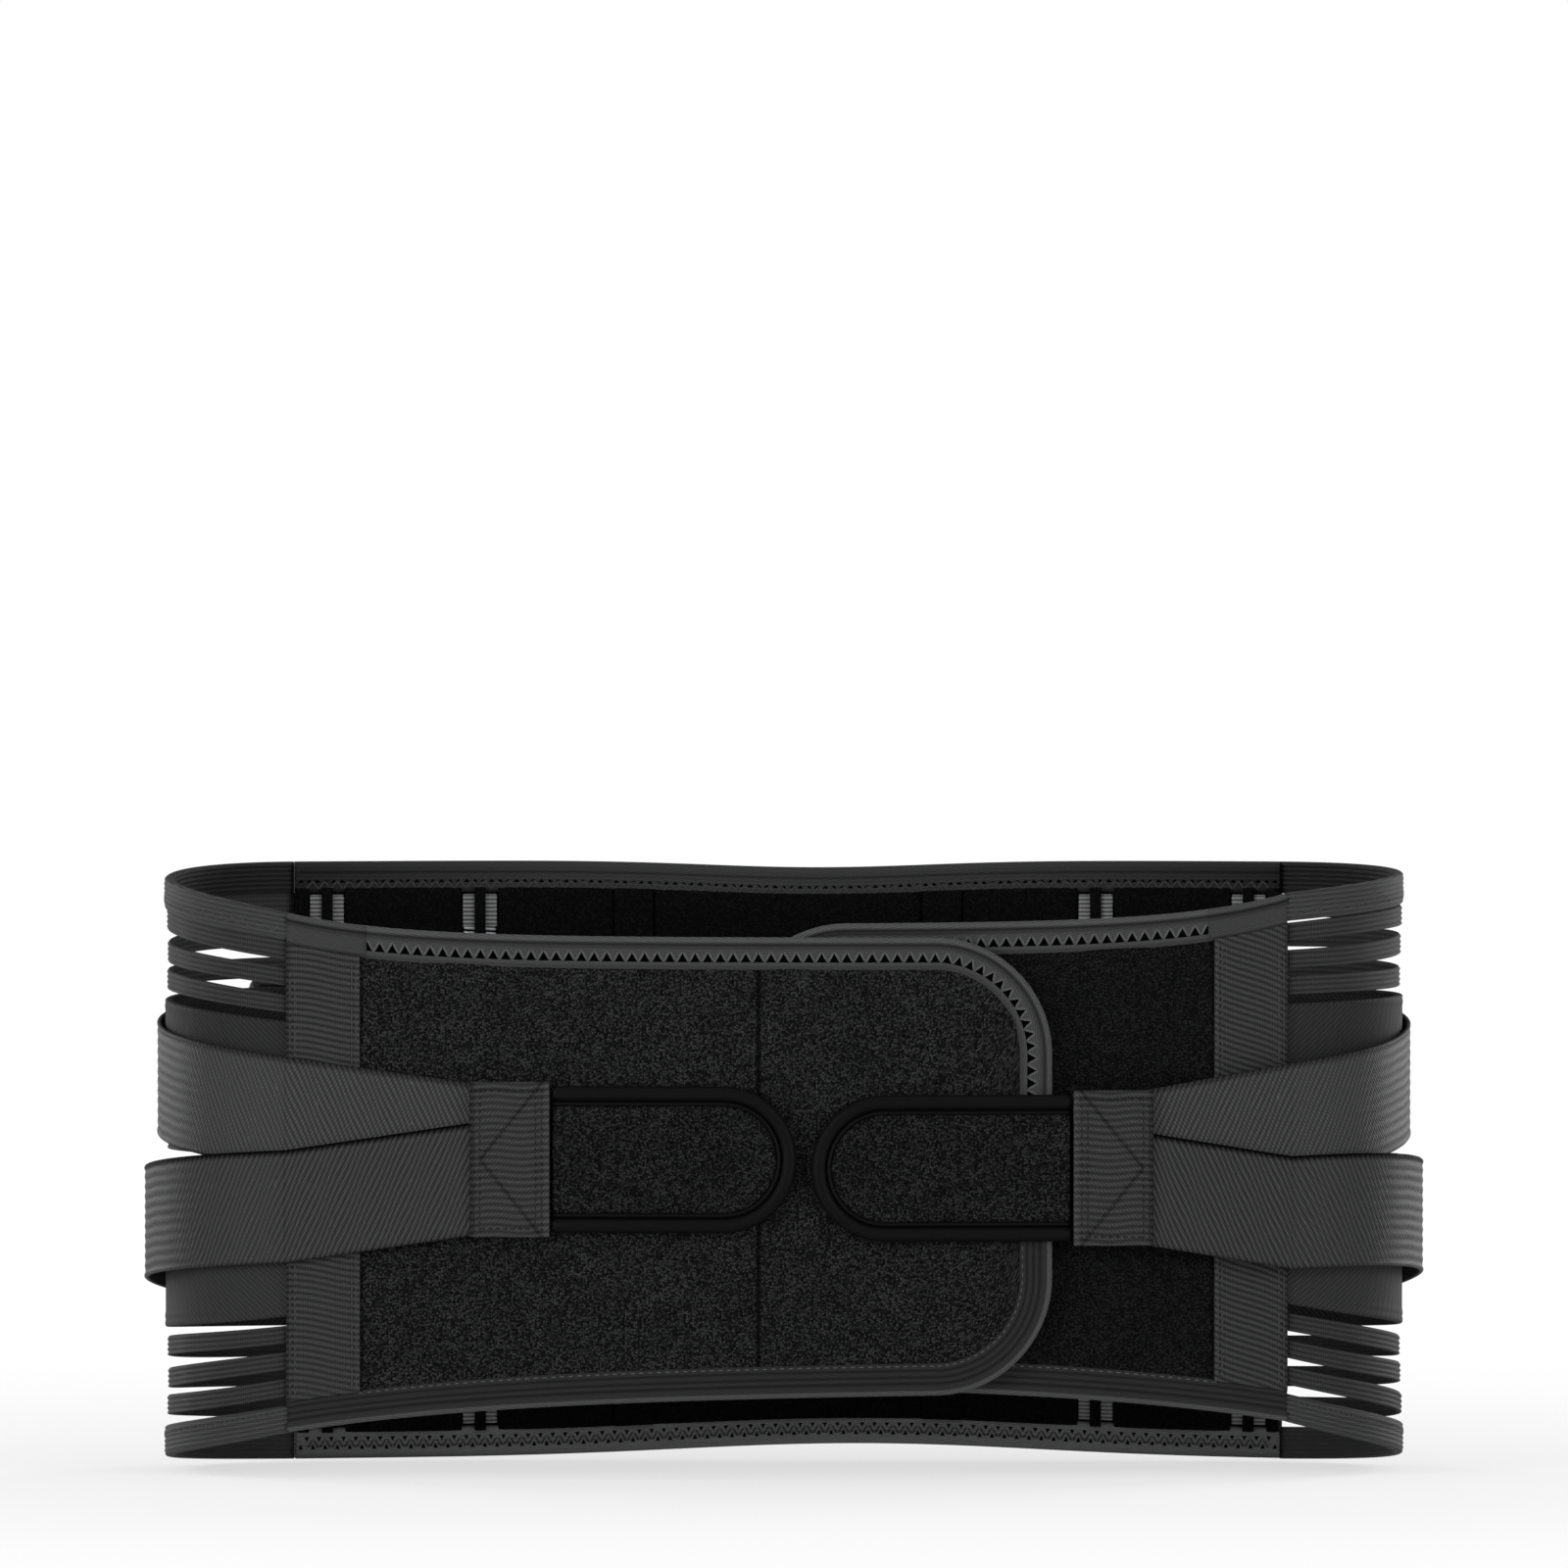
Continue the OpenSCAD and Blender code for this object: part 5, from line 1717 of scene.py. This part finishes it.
        # Lighter along the panel-side edge, a painted highlight that also stands for the lighter stitches
        # there, and darker along the seam edge.
        edge = lambda u: 1 + 0.3 * ridge(-u, x0, 1.8) - 0.5 * ridge(-u, x1, 1.6)
        strip.solid(soup, 380, over(weave, press), tone=lambda u, v: 0.85 * weave.tone(u, v) * edge(u))
        obj = soup.piece(self.word + "_band", self.fin.band, "ribbed_elastic")
        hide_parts(self.word + "_band")
        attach(obj, self.word)
        thread = Soup()
        tall = float(high.min() - low.max())
        for d in (1.3, 3.0, self.band_w - 2.6, self.band_w - 1.2):
            strip.sew(thread, [(-x1 + d, 2.0), (-x1 + d, tall - 2.0)], *PATCH_STITCH)
        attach(thread.piece(self.word + "_band_stitches", self.fin.dim_thread, "binding_tape"), self.word)

    def hook_patch(self) -> None:
        """Builds the hook patch inside the tip, with rows of hooks."""
        inset = self.binding_w + 4
        x = np.linspace(-10.0, -self.tip + inset + 0.1, 120)
        low, high = self.edges(x, inset)
        t0 = self.layer - self.thick
        hooks = lambda u, v: 0.16 * np.sin(u * 3.6) * np.sin(v * 3.2)
        soup = Soup()
        strip = Strip(Run.front(self.side, x, t0), low, high, t0 - 0.05, t0 + 0.7, 0.3)
        strip.solid(soup, 8, inner=hooks, inner_rows=160)
        obj = soup.piece("outer_wing_hook_patch", self.fin.hook, "hook_tape")
        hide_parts("outer_wing_hook_patch")
        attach(obj, self.word)


@dataclass
class Pull:
    """One side's pair of pull straps, the patch that joins them and the tab."""

    fin: Finishes
    side: Side
    tension: TensionSystem
    centre_z: float
    tab_x: float
    tab_l: float
    strap_w: float = 38.4
    strap_t: float = 1.2
    split: float = 6.5
    layers: tuple[float, float] = (6.8, 8.15)
    bulge: tuple[float, float] = (1.0, 5.5)
    patch_t: float = 9.5
    patch_size: tuple[float, float] = (27.0, 53.0)
    tab_t: float = 6.55
    tab_h: float = 50.0
    piping_w: float = 5.0
    hook_t: float = 5.55
    fold_end: float = -44.0
    side_share: float = 0.68
    wing_deg: float = 38.0
    peel_l: float = 26.0

    @property
    def body(self) -> str:
        """Body of the patch between the straps and its stitches."""
        return f"{self.side.word}_pull"

    def build(self) -> None:
        """Builds the straps, the patch and the tab."""
        for level in Level:
            self.strap(level)
        self.patch()
        self.tab()

    def front_run(self, x: Array) -> Run:
        """Run on the front arc at distances measured on the wing's outer face."""
        return Run.front(self.side, x * PLAN.arc_r / (PLAN.arc_r + PLAN.rise(self.side)), 0.0)

    def strap(self, level: Level) -> None:
        """Builds one strap in three runs: round the ring, round the side, across the wing.

        Args:
            level: The upper or the lower strap.
        """
        which = level.place
        side, ten = self.side, self.tension
        z, z_end = ten.ring_z[which], self.centre_z + level.value * self.split
        layer, up = self.layers[which], PLAN.rise(side)
        bore, ring, seam = ten.fold_r + 0.1, ten.ring_deg(side), 90 - PLAN.front_deg(side)
        name = f"{level.word}_{side.word}_pull_strap"
        share = lambda deg: (deg - ring) / (seam - ring)
        lay = lambda deg: mix(mix(ten.bar_t + bore, self.bulge[which], ease(2 * share(deg))), layer - up,
                              ease(2 * share(deg) - 1))
        climb = which * (0.7 if side is Side.RIGHT else 1.4)
        mid_z = lambda deg: mix(z, z_end, self.side_share * share(deg) * (1 + climb * (1 - share(deg))))
        bar = ten.bar(side, True)
        d0 = np.linspace(ring + 15, ring + 2, 10)
        tail = [ten.bend_point(side, d, ten.bar_t - bore) for d in d0]
        tail_out = [ten.bend_point(side, d, ten.bar_t - bore - self.strap_t) for d in d0]
        a = np.radians(np.linspace(ring + 180, ring + 360, 19))
        ray = np.stack([np.cos(a), np.sin(a)], 1)
        cut = self.fold_end
        d1 = np.linspace(ring, cut, 44)[1:]
        first = [ten.bend_point(side, d, lay(d)) for d in d1]
        first_out = [ten.bend_point(side, d, lay(d) + self.strap_t) for d in d1]
        inner = np.concatenate([tail, bar + bore * ray, first])
        outer = np.concatenate([tail_out, bar + (bore + self.strap_t) * ray, first_out])
        run = Run.through(PLAN.settle(inner, side), PLAN.settle(outer, side))
        zc = np.concatenate([np.full(len(tail) + len(ray), z), mid_z(d1)])
        at_cut = run.u[-1]
        fold = self.web(run, zc, 0.0, self.strap_t, level)
        obj = fold.piece(name + "_fold", self.fin.pull, "webbing")
        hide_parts(name)
        near = Run.bend(side, np.array([cut - 3, ring + 4]))
        a3, b3 = (Vector((*(p * MM), z * MM)) for p in near.base)
        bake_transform(obj)
        deg = np.linspace(cut, seam, 220)
        run = Run.bend(side, deg)
        reach = (PLAN.side_r(side) + 7.4) / PLAN.side_r(side)
        run.u = at_cut + (run.u - run.u[0]) * reach
        strip_t = lay(deg)
        bent = self.web(run, mid_z(deg), strip_t, strip_t + self.strap_t, level)
        obj = bent.piece(name + "_side", self.fin.pull, "webbing")
        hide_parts(name)
        near = Run.bend(side, np.array([self.wing_deg, seam]))
        a3, b3 = (Vector((*(p * MM), z * MM)) for p in near.base)
        self.side.wing
        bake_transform(obj)
        k = np.linspace(0, 1, 230)
        start = PLAN.seam_x(side) * PLAN.arc_r / (PLAN.arc_r + up)
        end_u = run.u[-1]
        run = Run.front(side, mix(start, self.tab_x + 0.3, k), 0.0)
        run.u = end_u + (run.u - run.u[0])
        zc = mix(z, z_end, np.minimum(1, self.side_share + 0.44 * k))
        flat = self.web(run, zc, layer, layer + self.strap_t, level)
        obj = flat.piece(name + "_front", self.fin.pull, "webbing")
        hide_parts(name)
        near = self.front_run(np.array([PLAN.seam_x(side), PLAN.seam_x(side) - self.peel_l]))
        a3, b3 = (Vector((*(p * MM), z * MM)) for p in near.base)
        self.side.wing
        self.body
        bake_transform(obj)

    def web(self, run: Run, zc: Array, t0: Array, t1: Array, level: Level) -> Soup:
        """A length of webbing on a run: twill with level ribs round the side.

        Args:
            run: Its course.
            zc: Heights of its middle.
            t0: Layers of its inner face.
            t1: Layers of its outer face.
            level: The strap, which sets the lean of its twill, its painted shadow line along one edge and how
                much lighter or darker it is painted.

        Returns:
            The webbing.
        """
        half = self.strap_w / 2
        strip = Strip(run, zc - half, zc + half, t0, t1, 0.5)
        flat = Ribs(3.4, 0.12, 0.0, 0.1, 2.3, 0.8)
        twill = Ribs(4.3, 0.1, 2.15 * level.value, 0.5, 1.7, 0.8)
        share = lambda u: 1 - ease((u - 35.0) / 25.0) * (1 - ease((u - 108.0) / 36.0))
        edge = lambda u, v: 0.16 * (ridge(v, 0.8, 0.7) + ridge(v, 2 * half - 0.8, 0.7)) + 0 * u
        soup = Soup()
        # How dark the lower and the upper edge are painted, as painted shade at the edges; the lower strap's
        # upper edge, which lies on the other strap, carries the darkest painted shadow line.
        low, high = (0.85, 0.7) if level is Level.UPPER else (0.3, 1.0)
        # Painted light: the upper strap is painted lighter and the lower one darker, as light from above
        # falls more on the upper one.
        painted_light = 0.95 + 0.13 * level.value
        painted_shading = lambda v: painted_light * (1 - low * ridge(v, 0.0, 1.7) - high * ridge(v, 2 * half, 2.4))
        strip.solid(soup, 120, over(lambda u, v: mix(flat(u, v), twill(u, v), share(u)), edge),
                    tone=lambda u, v: mix(flat.tone(u, v), twill.tone(u, v), share(u)) * painted_shading(v))
        return soup

    def patch(self) -> None:
        """Builds the ribbed patch with double stitch rows and a vee between them."""
        long, tall = self.patch_size
        x = np.linspace(self.tab_x + long, self.tab_x + 0.3, 31)
        z0 = self.centre_z - tall / 2
        strip = Strip(Run.front(self.side, x, 0.0), z0, z0 + tall, self.patch_t, self.patch_t + 1.1, 0.5)
        u0, u1 = strip.run.u[0], strip.run.u[-1]
        press = lambda u, v: -0.25 * (ridge(u, u0 + 2.4, 0.8) + ridge(u, u1 - 3.6, 0.8)) \
            - 0.2 * (ridge(v, 3.0, 0.8) + ridge(v, tall - 3.0, 0.8))
        soup = Soup()
        weave = Ribs(2.3, 0.15, 0.0, 0.35, 3.0, 0.74)
        near, far, rim = u0 + 3.4, u1 - 4.6, 3.0
        leg = (tall / 2 - rim) / (far - near)
        # Painted light and shade: a dark painted shadow line along the vee stitches and at the root edge by
        # the straps, and a painted highlight at the free end.
        vee = lambda u, v: ridge(np.abs(v - tall / 2) - leg * (u - near), 0.0, 1.1)
        ends = lambda u: 1 + 0.6 * ridge(u, u1, 2.0) - 0.7 * ridge(u, u0, 1.6)
        tone = lambda u, v: 0.76 * weave.tone(u, v) * ends(u) * (1 - 0.75 * vee(u, v))
        strip.solid(soup, 150, over(weave, press), tone=tone)
        name = f"{self.side.word}_patch"
        obj = soup.piece(name, self.fin.pull, "webbing")
        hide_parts(name)
        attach(obj, self.body)
        thread = Soup()
        for u in (u0 + 1.3, near, far, u1 - 2.5):
            strip.sew(thread, [(u, 1.5), (u, tall - 1.5)], *PATCH_STITCH)
        line = [(near, rim), (far, rim), (near, tall / 2), (far, tall - rim), (near, tall - rim)]
        strip.sew(thread, line, *PATCH_STITCH)
        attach(thread.piece(name + "_stitches", self.fin.sunk_thread, "binding_tape"), self.body)

    def outline(self, inset: float, n: int = 40) -> Array:
        """Free edge of the tab, from its upper root corner round the end to the lower one.

        Args:
            inset: How far it is drawn in.
            n: Points on each straight edge.

        Returns:
            Points of distance and height.
        """
        r, x0 = self.tab_h / 2, self.tab_x
        xc = x0 - self.tab_l + r
        a = np.radians(np.linspace(90, 270, 49))
        top = np.stack([np.linspace(x0, xc, n), np.full(n, self.centre_z + r - inset)], 1)
        end = np.stack([xc + (r - inset) * np.cos(a), self.centre_z + (r - inset) * np.sin(a)], 1)[1:]
        low = np.stack([np.linspace(xc, x0, n), np.full(n, self.centre_z - r + inset)], 1)[1:]
        return np.concatenate([top, end, low])

    def lathe(self, profile: Array, name: str, material: bpy.types.Material, slot: str) -> bpy.types.Object:
        """Makes a piece by sweeping a closed profile of (inset, layer) points round the tab's outline.

        Args:
            profile: Points of shape (m, 2).
            name: Node the piece stands for.
            material: Its finish.
            slot: The record's material slot.

        Returns:
            The piece, riding on the tab.
        """
        lines = np.stack([self.outline(e) for e in profile[:, 0]], 1)
        shape = lines.shape[:2]
        t = np.broadcast_to(profile[:, 1], shape)
        r = PLAN.arc_r + t
        y = np.sqrt(r * r - lines[..., 0] ** 2) - PLAN.arc_c
        xy = PLAN.settle(np.stack([lines[..., 0], y], -1).reshape(-1, 2), self.side).reshape(*shape, 2)
        soup = Soup()
        soup.grid(np.concatenate([xy, lines[..., 1:]], -1), lines)
        obj = soup.piece(name, material, slot)
        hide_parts(name)
        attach(obj, f"{self.side.word}_tab")
        return obj

    def tab(self) -> None:
        """Builds the tab: rolled piping, a bead, the padded velour face and the hook pad beneath."""
        word, w, t0 = self.side.word, self.piping_w, self.tab_t
        a = np.radians(np.linspace(180, 0, 15))
        roll = np.stack([w / 2 - w / 2 * np.cos(np.pi - a), t0 + 0.9 + 2.5 * np.sin(a)], 1)
        bead_a = np.radians(np.linspace(180, 0, 9))
        bead = np.stack([w + 1.0 + 0.7 * np.cos(bead_a), t0 + 1.5 + 1.1 * np.sin(bead_a)], 1)
        under = np.array([[w + 1.7, t0 + 0.05], [w / 2, t0], [0.4, t0 + 0.2]])
        around = np.concatenate([roll, bead, under])
        obj = self.lathe(around, f"{word}_tab_piping", self.fin.piping, "binding_tape")
        mid = self.tab_h / 2 - 0.001
        inset = np.array([w + 1.4, w + 1.8, w + 2.4, w + 3.4, w + 5, w + 8, w + 12, w + 16, mid - 0.05, mid])
        lift = np.array([0.6, 1.5, 2.1, 2.45, 2.6, 2.75, 2.85, 2.9, 2.92, 2.92])
        face = np.stack([inset, t0 + lift], 1)
        base = np.array([[mid, t0 + 0.3], [w + 1.4, t0 + 0.3]])
        obj = self.lathe(np.concatenate([face, base]), f"{word}_tab_pad", self.fin.pad, "loop_velour")
        t = self.hook_t
        hook = np.array([[mid, t + 0.9], [2.3, t + 0.9], [2.0, t + 0.6], [2.0, t + 0.2], [2.4, t],
                         [8.0, t - 0.05], [16.0, t - 0.05], [mid - 0.05, t - 0.05], [mid, t - 0.05]])
        self.lathe(hook, f"{word}_tab_hook_pad", self.fin.hook, "hook_tape")


@dataclass
class Studio:
    """Floor, soft lights, white surround and camera."""

    distance: float = 9.0
    centre_z: float = PLAN.mid_z * MM
    pixel_mm: float = 0.336
    picture: int = 1600
    below: float = 390.5
    look_down: float = 2.6
    sensor: float = 36.0

    def build(self) -> None:
        """Sets the stage."""
        self.surround()
        self.floor()
        self.lights()
        self.camera()

    def surround(self) -> None:
        """Makes the world white to the camera and softly grey as light."""
        world = bpy.data.worlds.new("surround")
        bpy.context.scene.world = world
        world.use_nodes = True
        tree = world.node_tree
        light, sky = tree.nodes["Background"], tree.nodes.new("ShaderNodeBackground")
        light.inputs["Color"].default_value = (1, 1, 1, 1)
        light.inputs["Strength"].default_value = 0.3
        sky.inputs["Color"].default_value = (1, 1, 1, 1)
        sky.inputs["Strength"].default_value = 1.0
        path, pick = tree.nodes.new("ShaderNodeLightPath"), tree.nodes.new("ShaderNodeMixShader")
        tree.links.new(path.outputs["Is Camera Ray"], pick.inputs[0])
        tree.links.new(light.outputs[0], pick.inputs[1])
        tree.links.new(sky.outputs[0], pick.inputs[2])
        tree.links.new(pick.outputs[0], tree.nodes["World Output"].inputs["Surface"])
        bpy.context.scene.view_settings.view_transform = "Standard"

    @staticmethod
    def floor() -> None:
        """Adds a pale floor that keeps the belt's shadow."""
        mesh = bpy.data.meshes.new("floor")
        half, z = 6.0, -0.0012
        corners = [(-half, -half, z), (half, -half, z), (half, half, z), (-half, half, z)]
        mesh.from_pydata(corners, [], [(0, 1, 2, 3)])
        obj = bpy.data.objects.new("floor", mesh)
        bpy.context.scene.collection.objects.link(obj)
        mat = bpy.data.materials.new("floor_paper")
        mat.use_nodes = True
        tree = mat.node_tree
        shader = tree.nodes["Principled BSDF"]
        shader.inputs["Base Color"].default_value = (0.9, 0.9, 0.9, 1)
        shader.inputs["Roughness"].default_value = 0.9
        shader.inputs["Specular IOR Level"].default_value = 0.1
        where, far = tree.nodes.new("ShaderNodeTexCoord"), tree.nodes.new("ShaderNodeVectorMath")
        far.operation = "LENGTH"
        span, path = tree.nodes.new("ShaderNodeMapRange"), tree.nodes.new("ShaderNodeLightPath")
        span.inputs["From Min"].default_value, span.inputs["From Max"].default_value = 0.3, 0.75
        span.inputs["To Min"].default_value = 0.6
        seen, glow = tree.nodes.new("ShaderNodeMath"), tree.nodes.new("ShaderNodeEmission")
        seen.operation = "MULTIPLY"
        fade = tree.nodes.new("ShaderNodeMixShader")
        tree.links.new(where.outputs["Object"], far.inputs[0])
        tree.links.new(far.outputs["Value"], span.inputs["Value"])
        tree.links.new(span.outputs[0], seen.inputs[0])
        tree.links.new(path.outputs["Is Camera Ray"], seen.inputs[1])
        tree.links.new(seen.outputs[0], fade.inputs[0])
        tree.links.new(shader.outputs[0], fade.inputs[1])
        tree.links.new(glow.outputs[0], fade.inputs[2])
        tree.links.new(fade.outputs[0], tree.nodes["Material Output"].inputs["Surface"])
        mesh.materials.append(mat)

    @staticmethod
    def lights() -> None:
        """Adds soft boxes in front, behind and above."""
        boxes = (("key", (1.4, 1.2, 0.5), 0.8, 18), ("fill", (-1.45, 1.15, 0.5), 0.8, 14),
                 ("back_key", (-1.4, -1.2, 0.5), 0.8, 18), ("back_fill", (1.45, -1.15, 0.5), 0.8, 14),
                 ("top", (0, 0.3, 2.2), 2.0, 14))
        for name, place, size, power in boxes:
            data = bpy.data.lights.new(name, "AREA")
            data.shape, data.size, data.energy = "SQUARE", size, power
            obj = bpy.data.objects.new(name, data)
            bpy.context.scene.collection.objects.link(obj)
            obj.location = place
            obj.rotation_mode = "QUATERNION"
            obj.rotation_quaternion = (Vector((0, 0, 0.1)) - Vector(place)).to_track_quat("-Z", "Y")

    def camera(self) -> None:
        """Adds a long-lens camera in front of the closure, tilted so the belt sits low in the picture."""
        data = bpy.data.cameras.new("camera")
        obj = bpy.data.objects.new("camera", data)
        bpy.context.scene.collection.objects.link(obj)
        half = self.picture / 2 * self.pixel_mm * MM / self.distance
        data.sensor_width = self.sensor
        data.lens = self.sensor / 2 / half
        down = math.radians(self.look_down)
        tilt = math.atan(self.below / (self.picture / 2) * half)
        obj.location = (0.0, self.distance * math.cos(down), self.centre_z + self.distance * math.sin(down))
        obj.rotation_euler = (math.radians(90) + tilt - down, 0, math.radians(180))
        data.clip_start, data.clip_end = 0.1, 50
        bpy.context.scene.camera = obj


class Belt:
    """The whole belt."""

    def __init__(self, fin: Finishes) -> None:
        """Sets out the sub-assemblies.

        Args:
            fin: The finishes.
        """
        self.back = BackPanel(fin)
        self.tension = TensionSystem(fin)
        self.sides = [SideZone(fin, side) for side in Side]
        self.wings = [Wing(fin, Side.RIGHT, 90.0, dart_x=10.0), Wing(fin, Side.LEFT, 20.0)]
        self.pulls = [Pull(fin, Side.RIGHT, self.tension, PLAN.mid_z + 5.5, 80.0, 83.0),
                      Pull(fin, Side.LEFT, self.tension, PLAN.mid_z + 2.5, 96.0, 88.0)]

    def build(self) -> None:
        """Builds every sub-assembly."""
        for part in (self.back, self.tension, *self.sides, *self.wings, *self.pulls):
            log.info("building %s", type(part).__name__)
            part.build()


def main() -> None:
    """Builds the scene."""
    logging.basicConfig(level=logging.INFO, format="%(name)s: %(message)s")
    Belt(Finishes()).build()
    Studio().build()


if __name__ == "__main__":
    main()
